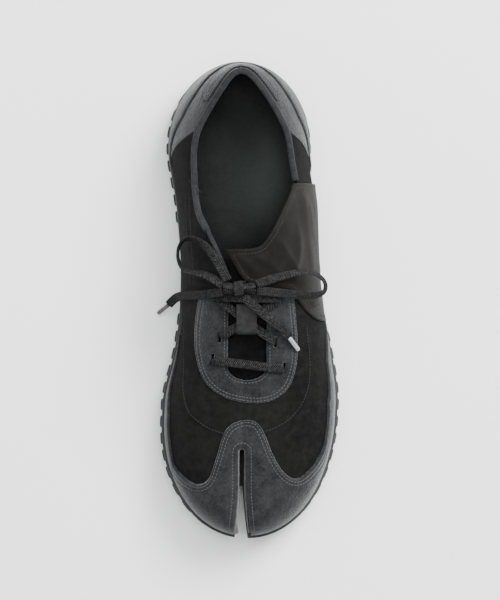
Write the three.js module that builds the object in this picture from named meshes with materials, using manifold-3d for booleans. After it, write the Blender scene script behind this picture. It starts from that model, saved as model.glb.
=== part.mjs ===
// A low tabi sneaker for the left foot, standing on its sole. Millimetres, +Z up.
// The toes point along -Y, the heel along +Y and the outer side of the foot along +X.
import * as THREE from 'three';
import { mergeVertices } from 'three/addons/utils/BufferGeometryUtils.js';
import Module from 'manifold-3d';

const wasm = await Module();
wasm.setup();

// Sole sizes
const soleLength = 295;
const ballWidth = 109;
const waistWidth = 84;
const heelWidth = 88;
const foreStack = 16;
const heelStack = 25;
const toeSpring = 11;
const heelBevel = 4;
const archRise = 3;
const lugDepth = 4;
const lugPitch = 10.6;
const lugLength = 7.2;
const lugChannel = 4;
const lugStandOut = 1.1;
const channelShift = 2;
const soleSplit = 32;

// Upper sizes
const toeBoxHeight = 50;
const instepHeight = 90;
const collarBackHeight = 74;
const collarDipHeight = 60;
const wall = 2;
const overlay = 1.2;
const toeLedge = 3;
const heelLedge = 2;
const throatWidth = 24;
const throatLength = 57;
const eyestayBorder = 19;

// The split between the big toe and the other toes
const slitGap = 2.6;
const slitLength = 56;
const slitAcross = -5.6;
const slitFlare = 2.8;
const slitDip = 5;
const slitRunOut = 5;

// Small pieces
const clearance = 0.3;
const insoleThickness = 3;
const tongueThickness = 1.6;
const tongueLap = 10;
const flapThickness = 1.2;
const bindingHeight = 3.4;
const bindingProud = 0.9;
const laceWidth = 5.5;
const laceThickness = 1.2;
const slotLength = 6.6;
const slotWidth = 1.8;
const keeperWidth = 12.5;
const keeperLength = 19;
const keeperShoulder = 1;
const cordRadius = 1.6;
const agletRadius = 1.5;
const cordStep = 8;

// Places along the shoe are shares of the sole's length, from the toe (0) to the heel (1).
const yAt = (at) => (at - 0.5) * soleLength;
const shareAt = (y) => y / soleLength + 0.5;

// A smooth curve through one column of a table whose rows start with "at".
function along(rows, column, at) {
  const last = rows.length - 1;
  if (at <= rows[0].at) return rows[0][column];
  if (at >= rows[last].at) return rows[last][column];
  let i = 0;
  while (rows[i + 1].at < at) i += 1;
  const rise = (k) => (rows[k + 1][column] - rows[k][column]) / (rows[k + 1].at - rows[k].at);
  const slope = (k) => {
    if (k === 0) return rise(0);
    if (k === last) return rise(last - 1);
    const before = rise(k - 1);
    const after = rise(k);
    return before * after <= 0 ? 0 : 2 * before * after / (before + after);
  };
  const span = rows[i + 1].at - rows[i].at;
  const u = (at - rows[i].at) / span;
  const a = rows[i][column];
  const b = rows[i + 1][column];
  const startPull = slope(i) * span;
  const endPull = slope(i + 1) * span;
  return a * (1 + 2 * u) * (1 - u) ** 2 + b * u * u * (3 - 2 * u)
    + startPull * u * (1 - u) ** 2 - endPull * u * u * (1 - u);
}

// Plan of the sole: width across and how far its middle drifts to the outer side.
const solePlan = [
  { at: 0.00, across: ballWidth * 0.98, drift: ballWidth * -0.020 },
  { at: 0.12, across: ballWidth * 0.99, drift: ballWidth * -0.016 },
  { at: 0.28, across: ballWidth * 1.00, drift: ballWidth * 0.002 },
  { at: 0.40, across: ballWidth * 0.89, drift: ballWidth * 0.018 },
  { at: 0.50, across: waistWidth * 1.03, drift: ballWidth * 0.000 },
  { at: 0.60, across: waistWidth * 0.98, drift: ballWidth * -0.020 },
  { at: 0.70, across: waistWidth * 1.00, drift: ballWidth * -0.034 },
  { at: 0.82, across: heelWidth * 1.00, drift: ballWidth * -0.062 },
  { at: 1.00, across: heelWidth * 1.00, drift: ballWidth * -0.056 },
];

// How far the upper's foot edge stands inside the rim of the sole; below 0 it hangs over.
const ledgePlan = [
  { at: 0.00, medial: toeLedge, lateral: toeLedge },
  { at: 0.35, medial: toeLedge, lateral: toeLedge },
  { at: 0.52, medial: toeLedge * 0.5, lateral: toeLedge * -0.3 },
  { at: 0.68, medial: toeLedge * 0.2, lateral: toeLedge * -0.7 },
  { at: 0.84, medial: heelLedge, lateral: heelLedge },
  { at: 1.00, medial: heelLedge, lateral: heelLedge },
];

// Ground line and top of the sole.
const soleRise = [
  { at: 0.00, under: toeSpring, top: toeSpring + foreStack * 0.85 },
  { at: 0.06, under: toeSpring * 0.52, top: toeSpring * 0.52 + foreStack * 0.92 },
  { at: 0.14, under: toeSpring * 0.12, top: toeSpring * 0.12 + foreStack },
  { at: 0.22, under: 0, top: foreStack },
  { at: 0.40, under: 0, top: foreStack + (heelStack - foreStack) * 0.06 },
  { at: 0.56, under: archRise, top: foreStack + (heelStack - foreStack) * 0.45 },
  { at: 0.72, under: 0, top: foreStack + (heelStack - foreStack) * 0.86 },
  { at: 0.84, under: 0, top: heelStack },
  { at: 0.93, under: 0, top: heelStack },
  { at: 1.00, under: heelBevel, top: heelStack * 1.03 },
];

// Ridge of the last over the foot: height, place across, and how full the section is.
const ridgeRows = [
  { at: 0.10, height: toeBoxHeight * 0.93, across: slitAcross, full: 2.35 },
  { at: 0.24, height: toeBoxHeight * 1.04, across: slitAcross, full: 2.3 },
  { at: 0.35, height: instepHeight * 0.65, across: ballWidth * -0.045, full: 2.15 },
  { at: 0.45, height: instepHeight * 0.78, across: ballWidth * -0.030, full: 2.05 },
  { at: 0.55, height: instepHeight * 0.92, across: ballWidth * -0.026, full: 2.0 },
  { at: 0.64, height: instepHeight * 1.00, across: ballWidth * -0.030, full: 2.0 },
  { at: 0.74, height: instepHeight * 0.90, across: ballWidth * -0.030, full: 1.85 },
  { at: 0.86, height: instepHeight * 0.88, across: ballWidth * -0.045, full: 1.85 },
  { at: 1.00, height: instepHeight * 0.89, across: ballWidth * -0.095, full: 2.2 },
];

// Rounding of the plan at the two ends, as a share of the outline's length.
const toeRounding = { reach: 0.25, power: 2.1 };
const heelRounding = { reach: 0.18, power: 2.0 };

// The ridge is shorter than the foot edge, so the ends close as a toe box and a heel cup.
const ridgeToeInset = soleLength * 0.125;
const ridgeHeelInset = soleLength * 0.075;
const toeSteepness = 0.6;
const heelSteepness = 0.36;

function roundEnd(share, rounding) {
  const inward = 1 - Math.min(1, share / rounding.reach);
  return (1 - inward ** rounding.power) ** (1 / rounding.power);
}

// Half width of an outline that stands "inside" mm within the rim of the sole.
function halfWidth(share, at, inside) {
  const rounded = Math.min(roundEnd(share, toeRounding), roundEnd(1 - share, heelRounding));
  return Math.max(0, along(solePlan, 'across', at) / 2 - inside) * rounded;
}

const smooth = (u) => u * u * (3 - 2 * u);
const clamp01 = (u) => Math.min(1, Math.max(0, u));

// One point of the upper's surface, "grow" mm outside the last's outer face.
// share runs from toe to heel, rise from the foot edge (0) to the ridge (1).
function upperPoint(share, side, rise, grow) {
  const footStart = yAt(0) + toeLedge - grow;
  const footEnd = yAt(1) - heelLedge + grow;
  const footY = THREE.MathUtils.lerp(footStart, footEnd, share);
  const at = shareAt(footY);
  const inside = along(ledgePlan, side < 0 ? 'medial' : 'lateral', at) - grow;
  const footX = along(solePlan, 'drift', at) + side * halfWidth(share, at, inside);
  const footZ = along(soleRise, 'top', at) + clearance;
  const ridgeY = THREE.MathUtils.lerp(yAt(0) + ridgeToeInset, yAt(1) - ridgeHeelInset, share);
  const ridgeAt = shareAt(ridgeY);
  const ridgeX = along(ridgeRows, 'across', ridgeAt);
  const ridgeZ = along(ridgeRows, 'height', ridgeAt) + grow;
  const full = along(ridgeRows, 'full', ridgeAt);
  const angle = rise * Math.PI / 2;
  const outward = Math.max(0, Math.cos(angle)) ** (2 / full);
  const upward = Math.sin(angle) ** (2 / full);
  const x = ridgeX + (footX - ridgeX) * outward;
  const steepness = THREE.MathUtils.lerp(toeSteepness, heelSteepness, smooth(share));
  const y = ridgeY + (footY - ridgeY) * outward ** steepness;
  const dipReach = slitDip * 1.5;
  const dipFade = clamp01((yAt(0) + slitLength * 1.15 - y) / (slitLength * 0.6));
  const dip = slitDip * smooth(dipFade) * Math.exp(-(((x - slitAcross) / dipReach) ** 2)) * upward;
  return [x, y, footZ + (ridgeZ - footZ) * upward - dip];
}

function solidFrom(positions, indices) {
  const geometry = new THREE.BufferGeometry();
  geometry.setAttribute('position', new THREE.Float32BufferAttribute(positions, 3));
  geometry.setIndex(indices);
  return toManifold(geometry);
}

// Merges shared corners, drops faces that have no area, and points the faces outward.
function toManifold(source) {
  const bare = source.clone();
  bare.deleteAttribute('normal');
  bare.deleteAttribute('uv');
  const merged = mergeVertices(bare, 1e-4);
  const verts = merged.attributes.position;
  const index = merged.index.array;
  const kept = [];
  let volume = 0;
  const [a, b, c] = [new THREE.Vector3(), new THREE.Vector3(), new THREE.Vector3()];
  for (let i = 0; i < index.length; i += 3) {
    const [p, q, r] = [index[i], index[i + 1], index[i + 2]];
    if (p === q || q === r || r === p) continue;
    kept.push(p, q, r);
    a.fromBufferAttribute(verts, p);
    b.fromBufferAttribute(verts, q);
    c.fromBufferAttribute(verts, r);
    volume += a.dot(b.cross(c));
  }
  if (volume < 0) kept.reverse();
  return new wasm.Manifold(new wasm.Mesh({
    numProp: 3,
    vertProperties: new Float32Array(verts.array),
    triVerts: new Uint32Array(kept),
  }));
}

// Shares from 0 to 1, closer together at both ends.
function endWeighted(count) {
  return Array.from({ length: count + 1 }, (_, i) => {
    const even = i / count;
    const round = (1 - Math.cos(Math.PI * even)) / 2;
    return THREE.MathUtils.lerp(even, round, 0.75);
  });
}

const stations = endWeighted(28);
const treadStations = endWeighted(18);
const rises = [0, 0.14, 0.28, 0.42, 0.56, 0.7, 0.82, 0.92, 1];

// The closed form of the upper, "grow" mm outside its outer face, from "drop" mm below
// its foot edge.
function upperForm(grow, drop) {
  const medialRises = rises.slice(0, -1);
  const lateralRises = rises.slice().reverse();
  const rings = stations.map((share) => {
    const medial = medialRises.map((rise) => upperPoint(share, -1, rise, grow));
    const lateral = lateralRises.map((rise) => upperPoint(share, 1, rise, grow));
    const ring = [...medial, ...lateral];
    if (drop === 0) return ring;
    const below = ([x, y, z]) => [x, y, z - drop];
    return [below(ring[0]), ...ring, below(ring[ring.length - 1])];
  });
  // At the toe and heel both sides lie on one line, so the end rings close on themselves.
  return loftOnLine(rings);
}

// A loft whose end rings fold flat onto a line: the walls meet there, with no end face.
function loftOnLine(rings) {
  const positions = rings.flat(2);
  const size = rings[0].length;
  const indices = [];
  for (let i = 0; i + 1 < rings.length; i += 1) {
    for (let j = 0; j < size; j += 1) {
      const a = i * size + j;
      const b = i * size + (j + 1) % size;
      indices.push(a, a + size, b + size, a, b + size, b);
    }
  }
  return solidFrom(positions, indices);
}

const high = instepHeight * 2;

// A smooth outline through plan points.
function smoothLine(points, steps) {
  const curve = new THREE.SplineCurve(points.map(([x, y]) => new THREE.Vector2(x, y)));
  return curve.getPoints(steps).map((p) => [p.x, p.y]);
}

// An upright prism on a plan outline.
function prism(outline, low, top) {
  const shape = new THREE.Shape(outline.map(([x, y]) => new THREE.Vector2(x, y)));
  const geometry = new THREE.ExtrudeGeometry(shape, { depth: top - low, bevelEnabled: false });
  geometry.translate(0, 0, low);
  return toManifold(geometry);
}

// A prism that runs across the shoe on an outline of (y, z) points.
function sidePrism(outline, left, right) {
  const shape = new THREE.Shape(outline.map(([y, z]) => new THREE.Vector2(y, z)));
  const geometry = new THREE.ExtrudeGeometry(shape, { depth: right - left, bevelEnabled: false });
  const turn = new THREE.Matrix4().makeBasis(
    new THREE.Vector3(0, 1, 0), new THREE.Vector3(0, 0, 1), new THREE.Vector3(1, 0, 0));
  geometry.applyMatrix4(turn);
  geometry.translate(left, 0, 0);
  return toManifold(geometry);
}

// The slit between the toes, "beside" mm wider on each side, with its tip flaring out.
function slitPrism(beside, length, low, top) {
  const half = slitGap / 2 + beside;
  const tip = yAt(0) - slitRunOut;
  const end = yAt(0) + length;
  const side = [];
  const steps = 10;
  for (let i = 0; i <= steps; i += 1) {
    const y = THREE.MathUtils.lerp(tip, end - half, i / steps);
    const near = clamp01(1 - (y - yAt(0)) / (slitLength * 0.55));
    side.push([half + slitFlare * near ** 1.3, y]);
  }
  const round = [];
  for (let i = 1; i < 8; i += 1) {
    const turn = i / 8 * Math.PI;
    round.push([half * Math.cos(turn), end - half + half * Math.sin(turn)]);
  }
  const right = side.map(([x, y]) => [slitAcross + x, y]);
  const left = side.map(([x, y]) => [slitAcross - x, y]).reverse();
  const back = round.map(([x, y]) => [slitAcross + x, y]);
  return prism([...right, ...back, ...left], low, top);
}

// Side profile of the collar edge.
const collarRows = [
  { at: 0.600, height: instepHeight * 0.90 },
  { at: 0.640, height: collarDipHeight * 1.26 },
  { at: 0.690, height: collarDipHeight * 1.08 },
  { at: 0.745, height: collarDipHeight * 1.00 },
  { at: 0.830, height: collarDipHeight * 1.02 },
  { at: 0.900, height: collarBackHeight * 0.91 },
  { at: 0.960, height: collarBackHeight * 0.98 },
  { at: 1.020, height: collarBackHeight * 1.00 },
];
const collarSteps = 20;

// Everything above the collar edge raised by "lift".
function aboveCollar(lift) {
  const front = collarRows[0].at;
  const back = collarRows[collarRows.length - 1].at;
  const edge = Array.from({ length: collarSteps + 1 }, (_, i) => {
    const at = THREE.MathUtils.lerp(front, back, i / collarSteps);
    return [yAt(at), along(collarRows, 'height', at) + lift];
  });
  return sidePrism([...edge, [yAt(back), high], [yAt(front), high]], -ballWidth, ballWidth);
}

// Plan of the throat: the lacing gap and the V that runs up to the collar.
const throatMiddle = ballWidth * -0.026;
const throatTop = soleLength * 0.027;
const throatBottom = throatTop - throatLength;
function throatOutline(beside) {
  const half = throatWidth / 2 + beside;
  const round = [];
  for (let i = 0; i <= 10; i += 1) {
    const turn = Math.PI * i / 10;
    round.push([
      throatMiddle - half * Math.cos(turn),
      throatBottom + half * 0.72 * (1 - Math.sin(turn)) - beside,
    ]);
  }
  const medial = [
    [throatMiddle - half - throatWidth * 0.72, throatTop + soleLength * 0.155],
    [throatMiddle - half - throatWidth * 0.50, throatTop + soleLength * 0.115],
    [throatMiddle - half - throatWidth * 0.20, throatTop + soleLength * 0.062],
    [throatMiddle - half + throatWidth * 0.02, throatTop + soleLength * 0.020],
  ];
  const lateral = medial.map(([x, y]) => [2 * throatMiddle - x, y]).reverse();
  return [...medial, ...round, ...lateral];
}

function throatCutter(beside, low) {
  return prism(throatOutline(beside), low, high);
}

// Lace slots: place across and along, measured from the throat's middle and bottom.
const slotRows = [
  { name: 'low_medial', across: -throatWidth * 0.88, up: throatLength * 0.23, turn: 0.15 },
  { name: 'low_lateral', across: throatWidth * 0.94, up: throatLength * 0.132, turn: 0.15 },
  { name: 'mid_medial', across: -throatWidth * 0.70, up: throatLength * 0.463, turn: 0.0 },
  { name: 'mid_lateral', across: throatWidth * 0.72, up: throatLength * 0.409, turn: 0.0 },
  { name: 'top_medial', across: -throatWidth * 0.80, up: throatLength * 0.910, turn: 0.0 },
  { name: 'top_lateral', across: throatWidth * 0.80, up: throatLength * 0.893, turn: 0.0 },
];
const slotPlace = Object.fromEntries(slotRows.map((row) => [
  row.name, [throatMiddle + row.across, throatBottom + row.up]]));

// A straight strip in plan from one place to another, "width" wide.
function strip(from, to, width, extra) {
  const reach = Math.hypot(to[0] - from[0], to[1] - from[1]);
  const step = [(to[0] - from[0]) / reach, (to[1] - from[1]) / reach];
  const side = [-step[1] * width / 2, step[0] * width / 2];
  const start = [from[0] - step[0] * extra, from[1] - step[1] * extra];
  const end = [to[0] + step[0] * extra, to[1] + step[1] * extra];
  return [
    [start[0] + side[0], start[1] + side[1]],
    [start[0] - side[0], start[1] - side[1]],
    [end[0] - side[0], end[1] - side[1]],
    [end[0] + side[0], end[1] + side[1]],
  ];
}

function slotPrisms() {
  return slotRows.map((row) => {
    const [x, y] = slotPlace[row.name];
    const half = [Math.sin(row.turn) * slotLength / 2, Math.cos(row.turn) * slotLength / 2];
    const outline = strip([x - half[0], y - half[1]], [x + half[0], y + half[1]], slotWidth, 0);
    return prism(outline, foreStack + slotLength * 2, high);
  });
}

// The layers that the pieces are cut from, each one filled form less a smaller one.
const forms = new Map();
function form(grow) {
  const key = grow.toFixed(3);
  if (!forms.has(key)) forms.set(key, upperForm(grow, 0));
  return forms.get(key);
}

function layer(inner, outer) {
  return form(outer).subtract(upperForm(inner, foreStack));
}

// The toe overlay's W-shaped edge, given from the medial side to the lateral side.
const capEdge = [
  [-0.70, 0.302], [-0.497, 0.294], [-0.475, 0.200], [-0.430, 0.155], [-0.360, 0.126],
  [-0.295, 0.116], [-0.240, 0.128], [-0.200, 0.168], [-0.162, 0.215], [-0.118, 0.240],
  [-0.040, 0.251], [0.030, 0.246], [0.075, 0.222], [0.118, 0.182], [0.170, 0.148],
  [0.225, 0.130], [0.275, 0.129], [0.325, 0.143], [0.375, 0.165], [0.415, 0.197],
  [0.442, 0.240], [0.455, 0.302], [0.70, 0.306],
];

function capRegion() {
  const edge = smoothLine(capEdge.map(([across, at]) => [across * ballWidth, yAt(at)]), 44);
  const front = [[ballWidth, yAt(-0.1)], [-ballWidth, yAt(-0.1)]];
  return prism([...edge, ...front], 0, high);
}

// The mudguard: the low strip that runs back from the toe overlay along both sides.
const guardRows = [
  { at: 0.24, medial: foreStack * 1.82, lateral: foreStack * 2.05 },
  { at: 0.31, medial: foreStack * 1.78, lateral: foreStack * 2.15 },
  { at: 0.37, medial: foreStack * 1.52, lateral: foreStack * 2.10 },
  { at: 0.42, medial: foreStack * 1.12, lateral: foreStack * 1.80 },
  { at: 0.47, medial: foreStack * 0.90, lateral: foreStack * 1.12 },
];

function guardRegion() {
  const start = yAt(guardRows[0].at);
  const end = yAt(guardRows[guardRows.length - 1].at);
  const top = (side) => guardRows.map((row) => [yAt(row.at), row[side]]);
  const profile = (side) => [[start, 0], ...top(side), [end, 0]];
  return sidePrism(profile('medial'), -ballWidth, 0).add(sidePrism(profile('lateral'), 0, ballWidth));
}

// Plan of the eyestay, a U round the throat.
function eyestayRegion() {
  const half = throatWidth / 2;
  const wide = half + eyestayBorder;
  const outline = smoothLine([
    [-wide * 0.93, throatTop - throatLength * 0.05],
    [-wide * 1.02, throatBottom + throatLength * 0.57],
    [-wide * 1.00, throatBottom + throatLength * 0.27],
    [-wide * 0.84, throatBottom],
    [-wide * 0.50, throatBottom - eyestayBorder * 0.50],
    [0, throatBottom - eyestayBorder * 0.73],
    [wide * 0.48, throatBottom - eyestayBorder * 0.67],
    [wide * 0.82, throatBottom - eyestayBorder * 0.24],
    [wide * 0.97, throatBottom + throatLength * 0.16],
    [wide * 0.99, throatBottom + throatLength * 0.45],
    [wide * 0.90, throatTop - throatLength * 0.05],
  ].map(([x, y]) => [x + throatMiddle, y]), 30);
  return prism(outline, 0, high);
}

// Plan of the wrap flap, from the collar's outer front edge over the throat.
const flapEdge = {
  collar: [[0.225, 0.741], [0.206, 0.720], [0.159, 0.683], [0.094, 0.636], [0.021, 0.608],
    [-0.151, 0.604]],
  front: [[-0.151, 0.604], [-0.105, 0.573], [-0.055, 0.543], [0.009, 0.530], [0.101, 0.526],
    [0.211, 0.520], [0.248, 0.500], [0.303, 0.475], [0.376, 0.458], [0.477, 0.4525]],
};

function flapRegion(forward) {
  const plan = (rows) => rows.map(([across, at]) => [across * ballWidth, yAt(at)]);
  const collar = smoothLine(plan(flapEdge.collar), 16);
  const front = smoothLine(plan(flapEdge.front), 24).slice(1);
  const outer = plan([[0.7, 0.4525], [0.7, 0.7475]]);
  const outline = [...collar, ...front, ...outer];
  return prism(outline.map(([x, y]) => [x, y - forward]), 0, high);
}

// Side profiles of the heel overlays.
const counterRows = [
  [yAt(0.775), heelStack], [yAt(0.80), heelStack * 1.12], [yAt(0.84), heelStack * 1.52],
  [yAt(0.88), heelStack * 1.92], [yAt(0.93), heelStack * 2.12], [yAt(1.02), heelStack * 2.2],
];
const tabRows = [
  [yAt(0.905), high], [yAt(0.912), heelStack * 2.52], [yAt(0.94), heelStack * 2.36],
  [yAt(1.02), heelStack * 2.3],
];

function outsole() {
  const sideRows = [
    { up: 0.00, out: 0.955 }, { up: 0.20, out: 0.982 }, { up: 0.60, out: 0.968 },
    { up: 0.66, out: 1.000 }, { up: 1.00, out: 0.996 },
  ];
  const ring = (share, low, top, rows, standOut) => {
    const at = share;
    const half = halfWidth(share, at, -standOut);
    const middle = along(solePlan, 'drift', at);
    const points = (side) => rows.map((row) => [
      middle + side * half * row.out, yAt(at), THREE.MathUtils.lerp(low, top, row.up)]);
    return [...points(-1), ...points(1).reverse()];
  };
  const body = loftOnLine(stations.map((share) => {
    const low = along(soleRise, 'under', share) + lugDepth;
    return ring(share, low, along(soleRise, 'top', share), sideRows, 0);
  }));
  const treadRows = [{ up: 0, out: 0.95 }, { up: 0.25, out: 1 }, { up: 1, out: 0.995 }];
  const tread = loftOnLine(treadStations.map((share) => {
    const low = along(soleRise, 'under', share);
    return ring(share, low, low + lugDepth * 1.9, treadRows, lugStandOut);
  }));
  const bars = [];
  const firstBar = yAt(0) + lugPitch * 0.45;
  for (let y = firstBar; y < yAt(1) - lugLength * 0.6; y += lugPitch) {
    const at = shareAt(y + lugLength / 2);
    if (at > 0.47 && at < 0.65) continue;
    const box = new THREE.BoxGeometry(ballWidth * 1.3, lugLength, heelStack);
    box.translate(0, y + lugLength / 2, heelStack * 0.4);
    bars.push(toManifold(box));
  }
  const channels = [-1, 1].map((side) => {
    const box = new THREE.BoxGeometry(lugChannel, soleLength * 1.1, lugDepth * 4);
    box.translate(side * ballWidth * 0.19 - channelShift, 0, -lugDepth);
    return toManifold(box);
  });
  let lugs = wasm.Manifold.union(bars).intersect(tread);
  for (const channel of channels) lugs = lugs.subtract(channel);
  const split = slitPrism(0, soleSplit, -1, high);
  return body.add(lugs).subtract(split);
}

function upper() {
  const slit = slitPrism(0, slitLength, 0, high);
  const walled = slitPrism(wall, slitLength, 0, high);
  const hollow = upperForm(-wall, foreStack).subtract(walled);
  let shell = form(0).subtract(slit).subtract(hollow);
  shell = shell.subtract(aboveCollar(0)).subtract(throatCutter(0, heelStack * 1.6));
  for (const slot of slotPrisms()) shell = shell.subtract(slot);
  return shell;
}

function overlayPiece(region) {
  return layer(clearance, clearance + overlay).intersect(region);
}

function toeCap() {
  return overlayPiece(capRegion().add(guardRegion()))
    .subtract(slitPrism(clearance, slitLength + clearance, 0, high));
}

function eyestay() {
  let piece = overlayPiece(eyestayRegion()).subtract(throatCutter(0, 0))
    .subtract(flapRegion(clearance * 2));
  for (const slot of slotPrisms()) piece = piece.subtract(slot);
  return piece;
}

function heelCounter() {
  const region = sidePrism([...counterRows, [yAt(1.02), 0], [yAt(0.775), 0]], -ballWidth, ballWidth);
  return overlayPiece(region);
}

function heelTab() {
  const region = sidePrism([...tabRows, [yAt(1.02), high]], -ballWidth, ballWidth);
  return overlayPiece(region).subtract(aboveCollar(-bindingHeight * 0.3));
}

// Where the collar's roll starts on each side.
const rollStart = { medial: 0.622, lateral: 0.746 };

function collarBinding() {
  const ring = layer(-wall - bindingProud, bindingProud);
  const band = ring.intersect(aboveCollar(clearance)).subtract(aboveCollar(clearance + bindingHeight));
  const back = yAt(1.02);
  const half = (left, right, front) => prism(
    [[left, front], [right, front], [right, back], [left, back]], 0, high);
  const medial = half(-ballWidth, throatMiddle, yAt(rollStart.medial));
  const lateral = half(throatMiddle - clearance, ballWidth, yAt(rollStart.lateral));
  return band.intersect(medial.add(lateral)).subtract(throatCutter(clearance, 0));
}

function tongue() {
  const half = throatWidth / 2;
  const outline = smoothLine([
    [-half - tongueLap * 0.9, throatTop + tongueLap * 1.8],
    [-half - tongueLap, throatTop - tongueLap],
    [-half - tongueLap * 0.8, throatBottom + tongueLap * 0.8],
    [-half, throatBottom - tongueLap * 0.6],
    [0, throatBottom - tongueLap * 1.1],
    [half, throatBottom - tongueLap * 0.6],
    [half + tongueLap * 0.8, throatBottom + tongueLap * 0.8],
    [half + tongueLap, throatTop - tongueLap],
    [half + tongueLap * 0.9, throatTop + tongueLap * 1.8],
  ].map(([x, y]) => [x + throatMiddle, y]), 32);
  const region = prism(outline, 0, high);
  const outer = -wall - clearance;
  return layer(outer - tongueThickness, outer).intersect(region);
}

function wrapFlap() {
  const [front, back] = [yAt(0.4), yAt(0.8)];
  const profile = [[front, 0], [back, 0], [back, heelStack], [front, heelStack * 0.9]];
  const low = sidePrism(profile, -ballWidth, ballWidth);
  return layer(clearance, clearance + flapThickness).intersect(flapRegion(0)).subtract(low);
}

function insole() {
  const gap = wall + clearance * 2;
  const rim = (share) => {
    const start = yAt(0) + toeLedge + gap;
    const end = yAt(1) - heelLedge - gap;
    const y = THREE.MathUtils.lerp(start, end, share);
    const at = shareAt(y);
    const low = along(soleRise, 'top', at) + clearance;
    const middle = along(solePlan, 'drift', at);
    const left = middle - halfWidth(share, at, along(ledgePlan, 'medial', at) + gap);
    const right = middle + halfWidth(share, at, along(ledgePlan, 'lateral', at) + gap);
    const top = low + insoleThickness;
    return [[left, y, low], [left, y, top], [right, y, top], [right, y, low]];
  };
  const slit = slitPrism(wall + clearance * 2, slitLength + clearance * 2, 0, high);
  return loftOnLine(stations.map(rim)).subtract(slit);
}

const laceLow = clearance * 2 + overlay;

function laceStrip(from, to) {
  return prism(strip(from, to, laceWidth, laceWidth * 0.3), 0, high);
}

function laceBarLow() {
  const region = laceStrip(slotPlace.low_medial, slotPlace.low_lateral);
  return layer(laceLow, laceLow + laceThickness).intersect(region);
}

function laceCrossing() {
  const upstroke = laceStrip(slotPlace.mid_medial, slotPlace.top_lateral);
  const downstroke = laceStrip(slotPlace.top_medial, slotPlace.mid_lateral);
  const top = laceStrip(slotPlace.top_medial, slotPlace.top_lateral);
  return layer(laceLow, laceLow + laceThickness).intersect(upstroke.add(downstroke).add(top));
}

// The keeper is a webbing bridge over the crossing, with both ends down on the tongue.
function tongueKeeper() {
  const webbing = laceThickness;
  const under = laceLow + laceThickness + clearance;
  const middle = [throatMiddle - clearance * 2, throatBottom + throatLength * 0.656];
  const reach = keeperLength / 2;
  const rect = (half, fromY, toY) => prism([
    [middle[0] - half, fromY], [middle[0] + half, fromY],
    [middle[0] + half, toY], [middle[0] - half, toY]], 0, high);
  const bridge = layer(under, under + webbing)
    .intersect(rect(keeperWidth / 2, middle[1] - reach, middle[1] + reach));
  const legHalf = keeperWidth / 2 - keeperShoulder;
  const legs = layer(-wall, under + webbing * 0.5)
    .intersect(rect(legHalf, middle[1] - reach, middle[1] - reach + webbing)
      .add(rect(legHalf, middle[1] + reach - webbing, middle[1] + reach)));
  return bridge.add(legs);
}

// Routes of the free lace, points chosen by hand along its middle.
const medialLoop = [
  [-17.9, 9.0, 85.4], [-21.8, 11.8, 83.6], [-26.4, 14.4, 79.6], [-32.0, 16.4, 74.3],
  [-38.0, 17.2, 67.0], [-43.3, 20.4, 59.5], [-45.4, 27.5, 56.5], [-43.9, 34.0, 59.0],
  [-38.8, 37.6, 65.5], [-31.8, 35.5, 74.2], [-25.6, 29.5, 80.6], [-20.4, 21.5, 84.4],
  [-17.2, 15.6, 85.6], [-14.8, 11.9, 86.1],
];
const lateralLoop = [
  [2.4, 9.5, 86.4], [8.5, 11.9, 86.4], [17.0, 14.1, 84.6], [26.5, 16.7, 79.0],
  [33.0, 17.4, 72.6], [41.0, 15.0, 64.0], [45.6, 10.0, 60.0], [44.9, 4.8, 60.4],
  [38.5, 2.8, 66.0], [31.0, 3.0, 72.3], [23.0, 3.6, 78.0], [14.0, 4.6, 83.0],
  [7.5, 5.4, 85.3], [2.5, 5.6, 85.9],
];
const medialEnd = [
  [-18.3, 5.0, 84.8], [-21.2, 4.5, 82.6], [-24.8, 3.9, 78.4], [-29.5, 3.2, 71.5],
  [-34.5, 2.9, 61.5], [-39.3, 2.8, 50.5], [-43.2, 2.4, 38.5], [-46.2, 1.2, 27.0],
  [-48.9, -1.4, 17.0], [-50.2, -2.8, 12.6],
];
const lateralEnd = [
  [-5.5, 1.5, 85.2], [-0.5, -2.4, 84.0], [5.0, -6.9, 81.8], [11.0, -12.2, 77.6],
  [17.6, -16.8, 73.0], [22.6, -22.6, 68.7],
];
const medialAglet = [[-50.4, -3.0, 12.1], [-56.8, -8.2, 2.1]];
const lateralAglet = [[22.9, -23.1, 68.3], [28.5, -30.5, 61.8]];
const knotMiddle = [-8, 7, 85.7];
const knotHalf = [10, 4.3, 3.1];

// A round cord along a route, with eight sides.
function cord(route, radius) {
  const path = new THREE.CatmullRomCurve3(route.map((point) => new THREE.Vector3(...point)));
  const section = new THREE.Shape();
  for (let i = 0; i < 8; i += 1) {
    const turn = (i + 0.5) / 8 * 2 * Math.PI;
    const corner = [radius * Math.cos(turn), radius * Math.sin(turn)];
    if (i === 0) section.moveTo(...corner);
    else section.lineTo(...corner);
  }
  const steps = Math.max(2, Math.round(path.getLength() / cordStep));
  return toManifold(new THREE.ExtrudeGeometry(section, {
    steps, extrudePath: path, curveSegments: 8, bevelEnabled: false }));
}

function laceKnot() {
  const ball = new THREE.SphereGeometry(1, 12, 8);
  ball.scale(...knotHalf);
  ball.translate(...knotMiddle);
  return toManifold(ball);
}

function place(name, solid, color, roughness) {
  const mesh = solid.getMesh();
  const geometry = new THREE.BufferGeometry();
  geometry.setAttribute('position', new THREE.BufferAttribute(mesh.vertProperties, 3));
  geometry.setIndex(new THREE.BufferAttribute(mesh.triVerts, 1));
  const material = new THREE.MeshStandardMaterial({ color, roughness, metalness: 0 });
  const placed = new THREE.Mesh(geometry, material);
  placed.name = name;
  return placed;
}

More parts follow.
